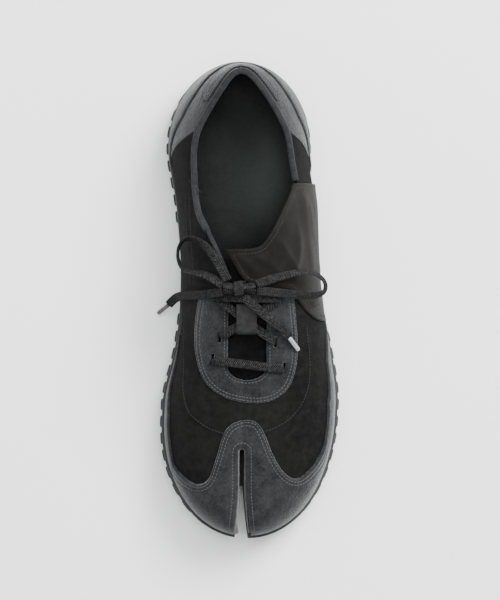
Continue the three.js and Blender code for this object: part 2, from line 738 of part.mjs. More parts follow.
const shoe = new THREE.Group();
shoe.add(place('outsole', outsole(), 0x1c1c1d, 0.7));
shoe.add(place('upper', upper(), 0x1b1b1b, 0.85));
shoe.add(place('insole', insole(), 0x34383a, 0.5));
shoe.add(place('tongue', tongue(), 0x232323, 0.8));
shoe.add(place('toe_cap', toeCap(), 0x3f4144, 0.95));
shoe.add(place('eyestay', eyestay(), 0x3f4144, 0.95));
shoe.add(place('heel_counter', heelCounter(), 0x3f4144, 0.95));
shoe.add(place('heel_tab', heelTab(), 0x3f4144, 0.95));
shoe.add(place('collar_binding', collarBinding(), 0x505356, 0.95));
shoe.add(place('wrap_flap', wrapFlap(), 0x2a2926, 0.6));
shoe.add(place('lace_bar_low', laceBarLow(), 0x262626, 0.9));
shoe.add(place('lace_crossing', laceCrossing(), 0x262626, 0.9));
shoe.add(place('tongue_keeper', tongueKeeper(), 0x565656, 0.9));
shoe.add(place('lace_knot', laceKnot(), 0x262626, 0.9));
shoe.add(place('lace_loop_medial', cord(medialLoop, cordRadius), 0x262626, 0.9));
shoe.add(place('lace_loop_lateral', cord(lateralLoop, cordRadius), 0x262626, 0.9));
shoe.add(place('lace_end_medial', cord(medialEnd, cordRadius), 0x262626, 0.9));
shoe.add(place('lace_end_lateral', cord(lateralEnd, cordRadius), 0x262626, 0.9));
shoe.add(place('aglet_medial', cord(medialAglet, agletRadius), 0x1a1a1a, 0.4));
shoe.add(place('aglet_lateral', cord(lateralAglet, agletRadius), 0xb9b9b9, 0.4));

export default shoe;
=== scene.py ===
import bpy
import bmesh
import math
import numpy as np
from contextlib import contextmanager
from mathutils import Matrix, Vector
from mathutils.bvhtree import BVHTree


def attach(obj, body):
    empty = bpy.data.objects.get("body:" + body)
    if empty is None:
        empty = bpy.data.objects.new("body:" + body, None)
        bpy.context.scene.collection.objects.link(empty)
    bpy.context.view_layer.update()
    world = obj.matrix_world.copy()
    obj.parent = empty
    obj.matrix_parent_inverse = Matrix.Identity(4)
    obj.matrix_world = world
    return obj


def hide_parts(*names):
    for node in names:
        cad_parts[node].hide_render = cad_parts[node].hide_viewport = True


# Lengths in this script are millimetres; a mesh is scaled to metres when it is made.
MM = 0.001

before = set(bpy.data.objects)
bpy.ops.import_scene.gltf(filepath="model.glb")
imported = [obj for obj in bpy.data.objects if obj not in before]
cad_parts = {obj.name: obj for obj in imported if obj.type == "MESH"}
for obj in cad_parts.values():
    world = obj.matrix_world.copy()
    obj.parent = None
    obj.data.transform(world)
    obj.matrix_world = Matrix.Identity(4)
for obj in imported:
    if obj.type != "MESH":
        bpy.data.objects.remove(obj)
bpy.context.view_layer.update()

# Sole sizes
SOLE_LENGTH = 295.0
BALL_WIDTH = 109.0
WAIST_WIDTH = 84.0
HEEL_WIDTH = 88.0
FORE_STACK = 16.0
HEEL_STACK = 25.0
TOE_SPRING = 11.0
HEEL_BEVEL = 4.0
ARCH_RISE = 3.0
LUG_DEPTH = 4.0
LUG_PITCH = 10.6
LUG_LENGTH = 7.2
LUG_CHANNEL = 4.0
LUG_STAND_OUT = 1.1
SOLE_SPLIT = 32.0

# Upper sizes
TOE_BOX = 50.0
INSTEP = 90.0
COLLAR_BACK = 74.0
COLLAR_DIP = 60.0
WALL = 2.0
OVERLAY = 1.2
TOE_LEDGE = 3.0
HEEL_LEDGE = 2.0
THROAT_WIDTH = 24.0
THROAT_LENGTH = 57.0
EYESTAY_BORDER = 19.0

# The split between the toes
SLIT_GAP = 2.6
SLIT_LENGTH = 56.0
SLIT_ACROSS = -5.6
SLIT_FLARE = 2.8
SLIT_DIP = 5.0

# Small pieces
CLEARANCE = 0.3
INSOLE_THICK = 3.0
TONGUE_THICK = 1.6
FLAP_THICK = 1.2
BINDING_HEIGHT = 3.4
BINDING_PROUD = 0.9
LACE_WIDTH = 5.5
LACE_THICK = 1.1
KEEPER_WIDTH = 12.5
KEEPER_LENGTH = 19.0


def y_at(at):
    return (np.asarray(at, float) - 0.5) * SOLE_LENGTH


def share_at(y):
    return np.asarray(y, float) / SOLE_LENGTH + 0.5


def table(columns, rows):
    values = np.array(rows, float).T
    return dict(zip(columns.split(), values))


def along(rows, column, at):
    """A smooth curve through one column of a table, with flat spots kept flat."""
    xs, ys = rows["at"], rows[column]
    at = np.clip(np.asarray(at, float), xs[0], xs[-1])
    rise = np.diff(ys) / np.diff(xs)
    slope = np.empty(len(xs))
    slope[0], slope[-1] = rise[0], rise[-1]
    before, after = rise[:-1], rise[1:]
    total = before + after
    inner = np.where(before * after <= 0, 0.0, 2 * before * after / np.where(total == 0, 1, total))
    slope[1:-1] = inner
    i = np.clip(np.searchsorted(xs, at, side="right") - 1, 0, len(xs) - 2)
    span = xs[i + 1] - xs[i]
    u = (at - xs[i]) / span
    a, b = ys[i], ys[i + 1]
    pull = slope[i] * span * u * (1 - u) ** 2 - slope[i + 1] * span * u * u * (1 - u)
    return a * (1 + 2 * u) * (1 - u) ** 2 + b * u * u * (3 - 2 * u) + pull


SOLE_PLAN = table("at across drift", [
    (0.00, BALL_WIDTH * 0.98, BALL_WIDTH * -0.020),
    (0.12, BALL_WIDTH * 0.99, BALL_WIDTH * -0.016),
    (0.28, BALL_WIDTH * 1.00, BALL_WIDTH * 0.002),
    (0.40, BALL_WIDTH * 0.89, BALL_WIDTH * 0.018),
    (0.50, WAIST_WIDTH * 1.03, BALL_WIDTH * 0.000),
    (0.60, WAIST_WIDTH * 0.98, BALL_WIDTH * -0.020),
    (0.70, WAIST_WIDTH * 1.00, BALL_WIDTH * -0.034),
    (0.82, HEEL_WIDTH * 1.00, BALL_WIDTH * -0.062),
    (1.00, HEEL_WIDTH * 1.00, BALL_WIDTH * -0.056),
])

LEDGE_PLAN = table("at medial lateral", [
    (0.00, TOE_LEDGE, TOE_LEDGE),
    (0.35, TOE_LEDGE, TOE_LEDGE),
    (0.52, TOE_LEDGE * 0.5, TOE_LEDGE * -0.3),
    (0.68, TOE_LEDGE * 0.2, TOE_LEDGE * -0.7),
    (0.84, HEEL_LEDGE, HEEL_LEDGE),
    (1.00, HEEL_LEDGE, HEEL_LEDGE),
])

STACK_STEP = HEEL_STACK - FORE_STACK
SOLE_RISE = table("at under top", [
    (0.00, TOE_SPRING, TOE_SPRING + FORE_STACK * 0.85),
    (0.06, TOE_SPRING * 0.52, TOE_SPRING * 0.52 + FORE_STACK * 0.92),
    (0.14, TOE_SPRING * 0.12, TOE_SPRING * 0.12 + FORE_STACK),
    (0.22, 0, FORE_STACK),
    (0.40, 0, FORE_STACK + STACK_STEP * 0.06),
    (0.56, ARCH_RISE, FORE_STACK + STACK_STEP * 0.45),
    (0.72, 0, FORE_STACK + STACK_STEP * 0.86),
    (0.84, 0, HEEL_STACK),
    (0.93, 0, HEEL_STACK),
    (1.00, HEEL_BEVEL, HEEL_STACK * 1.03),
])

RIDGE_ROWS = table("at height across full", [
    (0.10, TOE_BOX * 0.93, SLIT_ACROSS, 2.35),
    (0.24, TOE_BOX * 1.04, SLIT_ACROSS, 2.3),
    (0.35, INSTEP * 0.65, BALL_WIDTH * -0.045, 2.15),
    (0.45, INSTEP * 0.78, BALL_WIDTH * -0.030, 2.05),
    (0.55, INSTEP * 0.92, BALL_WIDTH * -0.026, 2.0),
    (0.64, INSTEP * 1.00, BALL_WIDTH * -0.030, 2.0),
    (0.74, INSTEP * 0.90, BALL_WIDTH * -0.030, 1.85),
    (0.86, INSTEP * 0.88, BALL_WIDTH * -0.045, 1.85),
    (1.00, INSTEP * 0.89, BALL_WIDTH * -0.095, 2.2),
])

COLLAR_ROWS = table("at height", [
    (0.600, INSTEP * 0.90),
    (0.640, COLLAR_DIP * 1.26),
    (0.690, COLLAR_DIP * 1.08),
    (0.745, COLLAR_DIP * 1.00),
    (0.830, COLLAR_DIP * 1.02),
    (0.900, COLLAR_BACK * 0.91),
    (0.960, COLLAR_BACK * 0.98),
    (1.020, COLLAR_BACK * 1.00),
])

TOE_ROUNDING = (0.25, 2.1)
HEEL_ROUNDING = (0.18, 2.0)
RIDGE_TOE_INSET = SOLE_LENGTH * 0.125
RIDGE_HEEL_INSET = SOLE_LENGTH * 0.075
TOE_STEEPNESS = 0.6
HEEL_STEEPNESS = 0.36


def round_end(share, rounding):
    reach, power = rounding
    inward = 1 - np.minimum(1, share / reach)
    return (1 - inward ** power) ** (1 / power)


def half_width(share, at, inside):
    rounded = np.minimum(round_end(share, TOE_ROUNDING), round_end(1 - share, HEEL_ROUNDING))
    return np.maximum(0, along(SOLE_PLAN, "across", at) / 2 - inside) * rounded


def smooth(u):
    u = np.clip(u, 0, 1)
    return u * u * (3 - 2 * u)


def upper_point(share, lean, grow):
    """The upper's surface. lean runs from the medial foot edge (-1) over the ridge (0)
    to the lateral foot edge (1); grow is how far outside the outer face the point lies."""
    side = np.where(lean < 0, -1.0, 1.0)
    rise = 1 - np.abs(lean)
    start = y_at(0) + TOE_LEDGE - grow
    end = y_at(1) - HEEL_LEDGE + grow
    foot_y = start + (end - start) * share
    at = share_at(foot_y)
    ledge = np.where(side < 0, along(LEDGE_PLAN, "medial", at), along(LEDGE_PLAN, "lateral", at))
    foot_x = along(SOLE_PLAN, "drift", at) + side * half_width(share, at, ledge - grow)
    foot_z = along(SOLE_RISE, "top", at) + CLEARANCE
    ridge_start = y_at(0) + RIDGE_TOE_INSET
    ridge_y = ridge_start + (y_at(1) - RIDGE_HEEL_INSET - ridge_start) * share
    ridge_at = share_at(ridge_y)
    ridge_x = along(RIDGE_ROWS, "across", ridge_at)
    ridge_z = along(RIDGE_ROWS, "height", ridge_at) + grow
    full = along(RIDGE_ROWS, "full", ridge_at)
    angle = rise * math.pi / 2
    outward = np.maximum(0, np.cos(angle)) ** (2 / full)
    upward = np.sin(angle) ** (2 / full)
    x = ridge_x + (foot_x - ridge_x) * outward
    steepness = TOE_STEEPNESS + (HEEL_STEEPNESS - TOE_STEEPNESS) * smooth(share)
    y = ridge_y + (foot_y - ridge_y) * outward ** steepness
    fade = (y_at(0) + SLIT_LENGTH * 1.15 - y) / (SLIT_LENGTH * 0.6)
    spread = np.exp(-((x - SLIT_ACROSS) / (SLIT_DIP * 1.5)) ** 2)
    dip = SLIT_DIP * smooth(fade) * spread * upward
    return np.stack([x, y, foot_z + (ridge_z - foot_z) * upward - dip], axis=-1)


# Mesh helpers

def new_object(name, verts, faces, materials=(), face_mats=None, uvs=None, smooth_faces=True):
    mesh = bpy.data.meshes.new(name)
    mesh.from_pydata((np.asarray(verts) * MM).tolist(), [], [list(map(int, f)) for f in faces])
    for material in materials:
        mesh.materials.append(material)
    if face_mats is not None:
        mesh.polygons.foreach_set("material_index", np.asarray(face_mats, np.int32))
    if smooth_faces:
        mesh.polygons.foreach_set("use_smooth", np.ones(len(mesh.polygons), bool))
    if uvs is not None:
        layer = mesh.uv_layers.new(name="cloth")
        loops = np.empty(len(mesh.loops), np.int32)
        mesh.loops.foreach_get("vertex_index", loops)
        layer.data.foreach_set("uv", np.asarray(uvs, np.float32)[loops].ravel())
    mesh.update()
    obj = bpy.data.objects.new(name, mesh)
    bpy.context.scene.collection.objects.link(obj)
    return obj


def add_float(obj, name, values):
    layer = obj.data.attributes.new(name, "FLOAT", "POINT")
    layer.data.foreach_set("value", np.asarray(values, np.float32))


@contextmanager
def edited(obj):
    """Opens a piece's mesh for bmesh work and writes it back."""
    mesh = bmesh.new()
    mesh.from_mesh(obj.data)
    yield mesh
    mesh.to_mesh(obj.data)
    mesh.free()
    obj.data.update()


def merge_close(obj, distance):
    with edited(obj) as mesh:
        bmesh.ops.remove_doubles(mesh, verts=mesh.verts, dist=distance * MM)
        bmesh.ops.dissolve_degenerate(mesh, edges=mesh.edges, dist=1e-7)
        bmesh.ops.recalc_face_normals(mesh, faces=mesh.faces)


class Patch:
    """A piece of the upper's surface as a triangle mesh in share and lean."""

    def __init__(self, share, lean, tris):
        self.share = share
        self.lean = lean
        self.tris = tris

    def points(self, grow):
        return upper_point(self.share, self.lean, grow)


def surface(shares, leans):
    """A full grid over the given shares and leans."""
    rows, cols = len(shares), len(leans)
    share, lean = np.meshgrid(shares, leans, indexing="ij")
    a = (np.arange(rows - 1)[:, None] * cols + np.arange(cols - 1)[None, :]).ravel()
    tris = np.concatenate([
        np.stack([a, a + 1, a + cols + 1], 1), np.stack([a, a + cols + 1, a + cols], 1)])
    return Patch(share.ravel(), lean.ravel(), tris)


def clip(patch, field):
    """Keeps the part of the patch where field is at least 0, cutting triangles at 0."""
    inside = field >= 0
    count = inside[patch.tris].sum(1)
    tris = patch.tris[count == 3].tolist()
    share, lean = list(patch.share), list(patch.lean)
    made = {}

    def cut(p, q):
        key = (p, q) if p < q else (q, p)
        if key not in made:
            u = field[p] / (field[p] - field[q])
            share.append(patch.share[p] + (patch.share[q] - patch.share[p]) * u)
            lean.append(patch.lean[p] + (patch.lean[q] - patch.lean[p]) * u)
            made[key] = len(share) - 1
        return made[key]

    for tri in patch.tris[(count == 1) | (count == 2)]:
        ring = []
        for k in range(3):
            p, q = int(tri[k]), int(tri[(k + 1) % 3])
            if inside[p]:
                ring.append(p)
            if inside[p] != inside[q]:
                ring.append(cut(p, q))
        tris.append([ring[0], ring[1], ring[2]])
        if len(ring) == 4:
            tris.append([ring[0], ring[2], ring[3]])
    tris = np.array(tris, int)
    used, index = np.unique(tris, return_inverse=True)
    return Patch(np.array(share)[used], np.array(lean)[used], index.reshape(-1, 3))


def boundary_edges(tris):
    """Directed edges that only one triangle has."""
    edges = np.concatenate([tris[:, [0, 1]], tris[:, [1, 2]], tris[:, [2, 0]]])
    key = np.sort(edges, 1)
    _, first, counts = np.unique(key, axis=0, return_index=True, return_counts=True)
    return edges[first[counts == 1]]


def iso_lines(patch, field):
    """The lines on the patch where field is 0, each as an array of (share, lean)."""
    inside = field >= 0
    segments = []
    spots = {}

    def cut(p, q):
        key = (p, q) if p < q else (q, p)
        if key not in spots:
            u = field[p] / (field[p] - field[q])
            spots[key] = (patch.share[p] + (patch.share[q] - patch.share[p]) * u,
                          patch.lean[p] + (patch.lean[q] - patch.lean[p]) * u)
        return key

    count = inside[patch.tris].sum(1)
    for tri in patch.tris[(count == 1) | (count == 2)]:
        ends = []
        for k in range(3):
            p, q = int(tri[k]), int(tri[(k + 1) % 3])
            if inside[p] != inside[q]:
                ends.append(cut(p, q))
        segments.append(ends)
    links = {}
    for a, b in segments:
        links.setdefault(a, []).append(b)
        links.setdefault(b, []).append(a)
    lines = []
    left = set(links)
    while left:
        ends = sorted(k for k in left if len(links[k]) == 1)
        start = ends[0] if ends else min(left)
        line = [start]
        left.discard(start)
        while True:
            following = [k for k in links[line[-1]] if k in left]
            if not following:
                break
            line.append(following[0])
            left.discard(following[0])
        if len(line) > 3:
            closed = len(line) > 8 and line[0] in links[line[-1]]
            if closed:
                line.append(line[0])
            lines.append(np.array([spots[k] for k in line]))
    return lines


def slab(name, patch, outer, inner, materials, inner_mat=0, uvs=None, weld=0.02):
    """A closed sheet between two sets of points on one patch."""
    n = len(outer)
    edges = boundary_edges(patch.tris)
    verts = np.concatenate([outer, inner])
    top = patch.tris
    bottom = patch.tris[:, ::-1] + n
    rim = np.concatenate([
        np.stack([edges[:, 1], edges[:, 0], edges[:, 0] + n], 1),
        np.stack([edges[:, 1], edges[:, 0] + n, edges[:, 1] + n], 1)])
    faces = np.concatenate([top, bottom, rim])
    mats = np.concatenate([np.zeros(len(top)), np.full(len(bottom), inner_mat), np.zeros(len(rim))])
    both = None if uvs is None else np.concatenate([uvs, uvs])
    obj = new_object(name, verts, faces, materials, mats, both)
    merge_close(obj, weld)
    return obj


def spline(points, steps):
    """A smooth line through chosen points, with even weights between them."""
    pts = np.array(points, float)
    ext = np.concatenate([[2 * pts[0] - pts[1]], pts, [2 * pts[-1] - pts[-2]]])
    out = []
    for t in np.linspace(0, len(pts) - 1, steps):
        i = min(int(t), len(pts) - 2)
        u = t - i
        p0, p1, p2, p3 = ext[i:i + 4]
        out.append(0.5 * (2 * p1 + (p2 - p0) * u + (2 * p0 - 5 * p1 + 4 * p2 - p3) * u * u
                          + (3 * p1 - p0 - 3 * p2 + p3) * u ** 3))
    return np.array(out)


def polygon_field(points, outline):
    """Signed distance in a plane, positive inside the outline."""
    outline = np.asarray(outline, float)
    a, b = outline, np.roll(outline, -1, axis=0)
    best = np.full(len(points), 1e9)
    crossings = np.zeros(len(points), int)
    px, py = points[:, 0], points[:, 1]
    for (ax, ay), (bx, by) in zip(a, b):
        dx, dy = bx - ax, by - ay
        size = dx * dx + dy * dy
        if size < 1e-12:
            continue
        u = np.clip(((px - ax) * dx + (py - ay) * dy) / size, 0, 1)
        best = np.minimum(best, np.hypot(px - ax - u * dx, py - ay - u * dy))
        if abs(dy) > 1e-12:
            hit = ((ay > py) != (by > py)) & (px < (bx - ax) * (py - ay) / dy + ax)
            crossings += hit
    return np.where(crossings % 2 == 1, best, -best)


def resample(points, step):
    """Points an even distance apart along a line."""
    points = np.asarray(points, float)
    size = np.linalg.norm(np.diff(points, axis=0), axis=1)
    reach = np.concatenate([[0], np.cumsum(size)])
    count = max(2, int(round(reach[-1] / step)) + 1)
    places = np.linspace(0, reach[-1], count)
    out = np.stack([np.interp(places, reach, points[:, k]) for k in range(points.shape[1])], 1)
    return out


def tangents(points):
    t = np.gradient(points, axis=0)
    return t / np.maximum(np.linalg.norm(t, axis=1, keepdims=True), 1e-9)


def relax(points, rounds):
    points = points.copy()
    for _ in range(rounds):
        points[1:-1] = (points[:-2] + 2 * points[1:-1] + points[2:]) / 4
    return points


def surface_normal(share, lean, grow):
    e = 1e-3
    lean_up = np.clip(lean + e, -1, 1)
    lean_down = np.clip(lean - e, -1, 1)
    along_share = upper_point(np.clip(share + e, 0, 1), lean, grow) - upper_point(
        np.clip(share - e, 0, 1), lean, grow)
    along_lean = upper_point(share, lean_up, grow) - upper_point(share, lean_down, grow)
    n = np.cross(along_lean, along_share)
    n /= np.maximum(np.linalg.norm(n, axis=1, keepdims=True), 1e-9)
    centre = np.array([0.0, 0.0, 30.0])
    p = upper_point(share, lean, grow)
    outward = p - np.stack([np.zeros(len(p)), p[:, 1] * 0.75, np.full(len(p), centre[2])], 1)
    flip = np.sum(n * outward, 1) < 0
    n[flip] *= -1
    return n


def sculpted(patch, field, levels):
    """Adds the lines where field has each of the given levels to the patch's own edges."""
    for level in levels:
        patch = split(patch, field(patch) - level)
    return patch


def split(patch, field):
    """Cuts every triangle at field 0 and keeps both sides."""
    above = clip(patch, field)
    below = clip(patch, -field)
    share = np.concatenate([above.share, below.share])
    lean = np.concatenate([above.lean, below.lean])
    tris = np.concatenate([above.tris, below.tris + len(above.share)])
    key = np.round(np.stack([share, lean], 1), 9)
    _, first, index = np.unique(key, axis=0, return_index=True, return_inverse=True)
    tris = index.reshape(-1)[tris]
    good = (tris[:, 0] != tris[:, 1]) & (tris[:, 1] != tris[:, 2]) & (tris[:, 2] != tris[:, 0])
    return Patch(share[first], lean[first], tris[good])


def leans(count, start=-1.0, end=1.0):
    """Leans that lie closer together near the ridge, with the ridge itself among them."""
    even = np.linspace(-1, 1, count // 2 * 2 + 1)
    spaced = np.sign(even) * np.abs(even) ** 1.25
    return spaced[(spaced >= start - 1e-9) & (spaced <= end + 1e-9)]


def end_weighted(count):
    even = np.linspace(0, 1, count + 1)
    return even * 0.25 + (1 - np.cos(math.pi * even)) / 2 * 0.75


# Materials

def make_material(name):
    material = bpy.data.materials.new(name)
    material.use_nodes = True
    nodes = material.node_tree.nodes
    shader = nodes["Principled BSDF"]
    return material, material.node_tree, shader


def add_node(tree, kind, **settings):
    node = tree.nodes.new(kind)
    for key, value in settings.items():
        if key in node.inputs:
            node.inputs[key].default_value = value
        else:
            setattr(node, key, value)
    return node


def noise(tree, coords, scale, detail=4.0, rough=0.6):
    node = add_node(tree, "ShaderNodeTexNoise", Scale=scale, Detail=detail, Roughness=rough)
    tree.links.new(coords, node.inputs["Vector"])
    return node.outputs["Fac"]


def ramp(tree, fac, stops):
    node = tree.nodes.new("ShaderNodeValToRGB")
    elements = node.color_ramp.elements
    while len(elements) < len(stops):
        elements.new(0.5)
    for element, (place, color) in zip(elements, stops):
        element.position = place
        element.color = (*color, 1)
    tree.links.new(fac, node.inputs["Fac"])
    return node.outputs["Color"]


def bump(tree, height, strength, distance, before=None):
    node = add_node(tree, "ShaderNodeBump", Strength=strength, Distance=distance)
    tree.links.new(height, node.inputs["Height"])
    if before is not None:
        tree.links.new(before, node.inputs["Normal"])
    return node.outputs["Normal"]


def object_coords(tree):
    return tree.nodes.new("ShaderNodeTexCoord").outputs["Object"]


def cloth_coords(tree, scale):
    """The piece's own cloth lengths, in millimetres times scale."""
    uv = add_node(tree, "ShaderNodeUVMap", uv_map="cloth")
    mapping = tree.nodes.new("ShaderNodeMapping")
    mapping.inputs["Scale"].default_value = (scale, scale, scale)
    tree.links.new(uv.outputs["UV"], mapping.inputs["Vector"])
    return mapping.outputs["Vector"]


def math_node(tree, operation, a, b=None):
    node = tree.nodes.new("ShaderNodeMath")
    node.operation = operation
    for socket, value in zip(node.inputs, (a, b)):
        if value is None:
            continue
        if isinstance(value, (int, float)):
            socket.default_value = value
        else:
            tree.links.new(value, socket)
    return node.outputs[0]


def weighted(tree, *parts):
    """The sum of some node values, each times its weight."""
    total = None
    for value, weight in parts:
        term = value if weight == 1 else math_node(tree, "MULTIPLY", value, weight)
        total = term if total is None else math_node(tree, "ADD", total, term)
    return total


def suede(name, dark, light, nap, sheen):
    """Mottled leather with a short nap, which lightens where it is seen from the side."""
    material, tree, shader = make_material(name)
    coords = object_coords(tree)
    mottle = noise(tree, coords, 160, 6, 0.7)
    cloud = noise(tree, coords, 38, 3, 0.5)
    grain = noise(tree, coords, 700, 5, 0.75)
    fac = weighted(tree, (mottle, 0.45), (cloud, 0.13), (grain, 0.42))
    color = ramp(tree, fac, [(0.38, dark), (0.62, light)])
    tree.links.new(color, shader.inputs["Base Color"])
    rough = ramp(tree, mottle, [(0.3, (0.86,) * 3), (0.7, (1.0,) * 3)])
    tree.links.new(rough, shader.inputs["Roughness"])
    shader.inputs["Sheen Weight"].default_value = sheen
    shader.inputs["Sheen Roughness"].default_value = 0.4
    shader.inputs["Specular IOR Level"].default_value = 0.08
    fine = bump(tree, grain, nap, 0.0006)
    tree.links.new(bump(tree, mottle, nap * 0.8, 0.001, fine), shader.inputs["Normal"])
    return material


def woven(name, dark, light, pitch, depth, rough, sheen, shine):
    """A plain weave: two sets of threads at right angles, pitch in millimetres."""
    material, tree, shader = make_material(name)
    coords = cloth_coords(tree, 1.0)
    parts = tree.nodes.new("ShaderNodeSeparateXYZ")
    tree.links.new(coords, parts.inputs[0])
    turn = 2 * math.pi / pitch
    warp = math_node(tree, "SINE", math_node(tree, "MULTIPLY", parts.outputs[0], turn))
    weft = math_node(tree, "SINE", math_node(tree, "MULTIPLY", parts.outputs[1], turn))
    weave = math_node(tree, "MULTIPLY", warp, weft)
    fuzz = noise(tree, object_coords(tree), 220, 5, 0.65)
    cloud = noise(tree, object_coords(tree), 30, 3, 0.5)
    fac = weighted(tree, (weave, 0.14), (fuzz, 0.6), (cloud, 0.4))
    color = ramp(tree, fac, [(0.3, dark), (0.72, light)])
    tree.links.new(color, shader.inputs["Base Color"])
    shader.inputs["Roughness"].default_value = rough
    shader.inputs["Sheen Weight"].default_value = sheen
    shader.inputs["Sheen Roughness"].default_value = 0.4
    shader.inputs["Specular IOR Level"].default_value = shine
    first = bump(tree, weave, depth, 0.0003)
    tree.links.new(bump(tree, fuzz, 0.25, 0.0006, first), shader.inputs["Normal"])
    return material


def grained_leather(name, dark, light, rough):
    """Fine-grained leather, paler where the mesh's painted highlight value is high."""
    material, tree, shader = make_material(name)
    coords = object_coords(tree)
    cells = add_node(tree, "ShaderNodeTexVoronoi", Scale=620.0)
    tree.links.new(coords, cells.inputs["Vector"])
    wide = noise(tree, coords, 42, 4, 0.55)
    wear = noise(tree, coords, 300, 5, 0.6)
    fac = weighted(tree, (wide, 0.7), (wear, 0.3))
    # The mesh's painted highlight is mixed in here, so it shows as paler colour.
    painted_highlight = add_node(tree, "ShaderNodeAttribute", attribute_name="painted_highlight").outputs["Fac"]
    fac = weighted(tree, (fac, 0.5), (painted_highlight, 0.6))
    color = ramp(tree, fac, [(0.2, dark), (0.85, light)])
    tree.links.new(color, shader.inputs["Base Color"])
    gloss = ramp(tree, wide, [(0.3, (rough - 0.08,) * 3), (0.7, (rough + 0.1,) * 3)])
    tree.links.new(gloss, shader.inputs["Roughness"])
    shader.inputs["Specular IOR Level"].default_value = 0.05
    first = bump(tree, cells.outputs["Distance"], 0.25, 0.0003)
    tree.links.new(bump(tree, wear, 0.2, 0.0005, first), shader.inputs["Normal"])
    return material


def rubber(name, dark, light):
    material, tree, shader = make_material(name)
    coords = object_coords(tree)
    speck = noise(tree, coords, 420, 5, 0.7)
    dust = noise(tree, coords, 24, 4, 0.6)
    fac = weighted(tree, (speck, 0.4), (dust, 0.6))
    tree.links.new(ramp(tree, fac, [(0.35, dark), (0.7, light)]), shader.inputs["Base Color"])
    rough = ramp(tree, speck, [(0.3, (0.5,) * 3), (0.7, (0.72,) * 3)])
    tree.links.new(rough, shader.inputs["Roughness"])
    tree.links.new(bump(tree, speck, 0.2, 0.0004), shader.inputs["Normal"])
    return material


def lace_cloth(name, dark, light):
    """Flat woven lace: a herringbone along its length."""
    material, tree, shader = make_material(name)
    parts = tree.nodes.new("ShaderNodeSeparateXYZ")
    tree.links.new(cloth_coords(tree, 1.0), parts.inputs[0])
    across = math_node(tree, "ABSOLUTE", parts.outputs[1])
    lean = math_node(tree, "MULTIPLY", across, 4.2)
    run = math_node(tree, "MULTIPLY", parts.outputs[0], 5.2)
    bone = math_node(tree, "SINE", math_node(tree, "ADD", run, lean))
    fuzz = noise(tree, object_coords(tree), 700, 4, 0.7)
    fac = weighted(tree, (bone, 0.2), (fuzz, 1))
    tree.links.new(ramp(tree, fac, [(0.38, dark), (0.82, light)]), shader.inputs["Base Color"])
    shader.inputs["Roughness"].default_value = 0.85
    shader.inputs["Specular IOR Level"].default_value = 0.05
    first = bump(tree, bone, 0.7, 0.0004)
    tree.links.new(bump(tree, fuzz, 0.4, 0.0004, first), shader.inputs["Normal"])
    return material


def plastic(name, color, rough, coat):
    material, tree, shader = make_material(name)
    coords = object_coords(tree)
    wrap = noise(tree, coords, 500, 3, 0.5)
    light = tuple(min(1, c * 1.25) for c in color)
    tree.links.new(ramp(tree, wrap, [(0.35, color), (0.65, light)]), shader.inputs["Base Color"])
    shader.inputs["Roughness"].default_value = rough
    shader.inputs["Coat Weight"].default_value = coat
    tree.links.new(bump(tree, wrap, 0.2, 0.0003), shader.inputs["Normal"])
    return material


SUEDE = suede("suede", (0.006, 0.0062, 0.0067), (0.027, 0.0275, 0.0292), nap=0.7, sheen=0.3)
BINDING_SUEDE = suede("binding_suede", (0.009, 0.0094, 0.0098), (0.028, 0.0285, 0.030),
                      nap=0.6, sheen=0.08)
NYLON = woven("nylon", (0.003, 0.003, 0.003), (0.0145, 0.0145, 0.014),
              pitch=0.55, depth=0.6, rough=0.85, sheen=0.0, shine=0.05)
LINING = woven("lining", (0.003, 0.003, 0.003), (0.010, 0.0105, 0.0105),
               pitch=0.8, depth=0.5, rough=0.9, sheen=0.0, shine=0.04)
FLAP_CLOTH = woven("flap_cloth", (0.005, 0.0046, 0.0043), (0.0115, 0.0105, 0.0098),
                   pitch=0.4, depth=0.2, rough=0.55, sheen=0.0, shine=0.06)
TONGUE_CLOTH = woven("tongue_cloth", (0.002, 0.002, 0.002), (0.008, 0.008, 0.008),
                     pitch=0.6, depth=0.5, rough=0.85, sheen=0.0, shine=0.04)
WEBBING = woven("webbing", (0.012, 0.012, 0.012), (0.042, 0.042, 0.042),
                pitch=1.1, depth=0.8, rough=0.85, sheen=0.02, shine=0.06)
# The pale greenish colour shows mostly where the insole's painted highlight lies.
INSOLE_LEATHER = grained_leather("insole_leather", (0.0012, 0.0014, 0.0013),
                                 (0.021, 0.0262, 0.0243), rough=0.46)
SOLE_RUBBER = rubber("sole_rubber", (0.004, 0.004, 0.0042), (0.013, 0.013, 0.0135))
LACE = lace_cloth("lace", (0.0015, 0.0015, 0.0015), (0.05, 0.05, 0.05))
THREAD = plastic("thread", (0.042, 0.042, 0.044), rough=0.7, coat=0.0)
THREAD_DARK = plastic("thread_dark", (0.006, 0.006, 0.006), rough=0.8, coat=0.0)
AGLET_DARK = plastic("aglet_dark", (0.01, 0.01, 0.01), rough=0.3, coat=0.3)
# The same aglet as the dark one, made pale: a painted highlight on the lit lateral tip.
AGLET_PAINTED_HIGHLIGHT = plastic("aglet_pale", (0.27, 0.28, 0.28), rough=0.3, coat=0.5)

# Camera and light

CAMERA_HEIGHT = 2600.0
CAMERA_ACROSS = -63.0
FRAME_TALL = 372.0
SENSOR = 36.0
LOOK_AT = (0.0, 0.0, 20.0)


def add_camera():
    data = bpy.data.cameras.new("camera")
    data.sensor_width = SENSOR
    data.sensor_fit = "VERTICAL"
    data.sensor_height = SENSOR
    away = CAMERA_HEIGHT - LOOK_AT[2]
    data.lens = SENSOR * away / FRAME_TALL
    data.clip_end = 20
    camera = bpy.data.objects.new("camera", data)
    bpy.context.scene.collection.objects.link(camera)
    place = Vector((CAMERA_ACROSS, 0, CAMERA_HEIGHT)) * MM
    aim = Vector(LOOK_AT) * MM
    back = (place - aim).normalized()
    right = Vector((0, 1, 0)).cross(back).normalized()
    up = back.cross(right)
    turn = Matrix((right, up, back)).transposed().to_4x4()
    camera.matrix_world = Matrix.Translation(place) @ turn
    bpy.context.scene.camera = camera


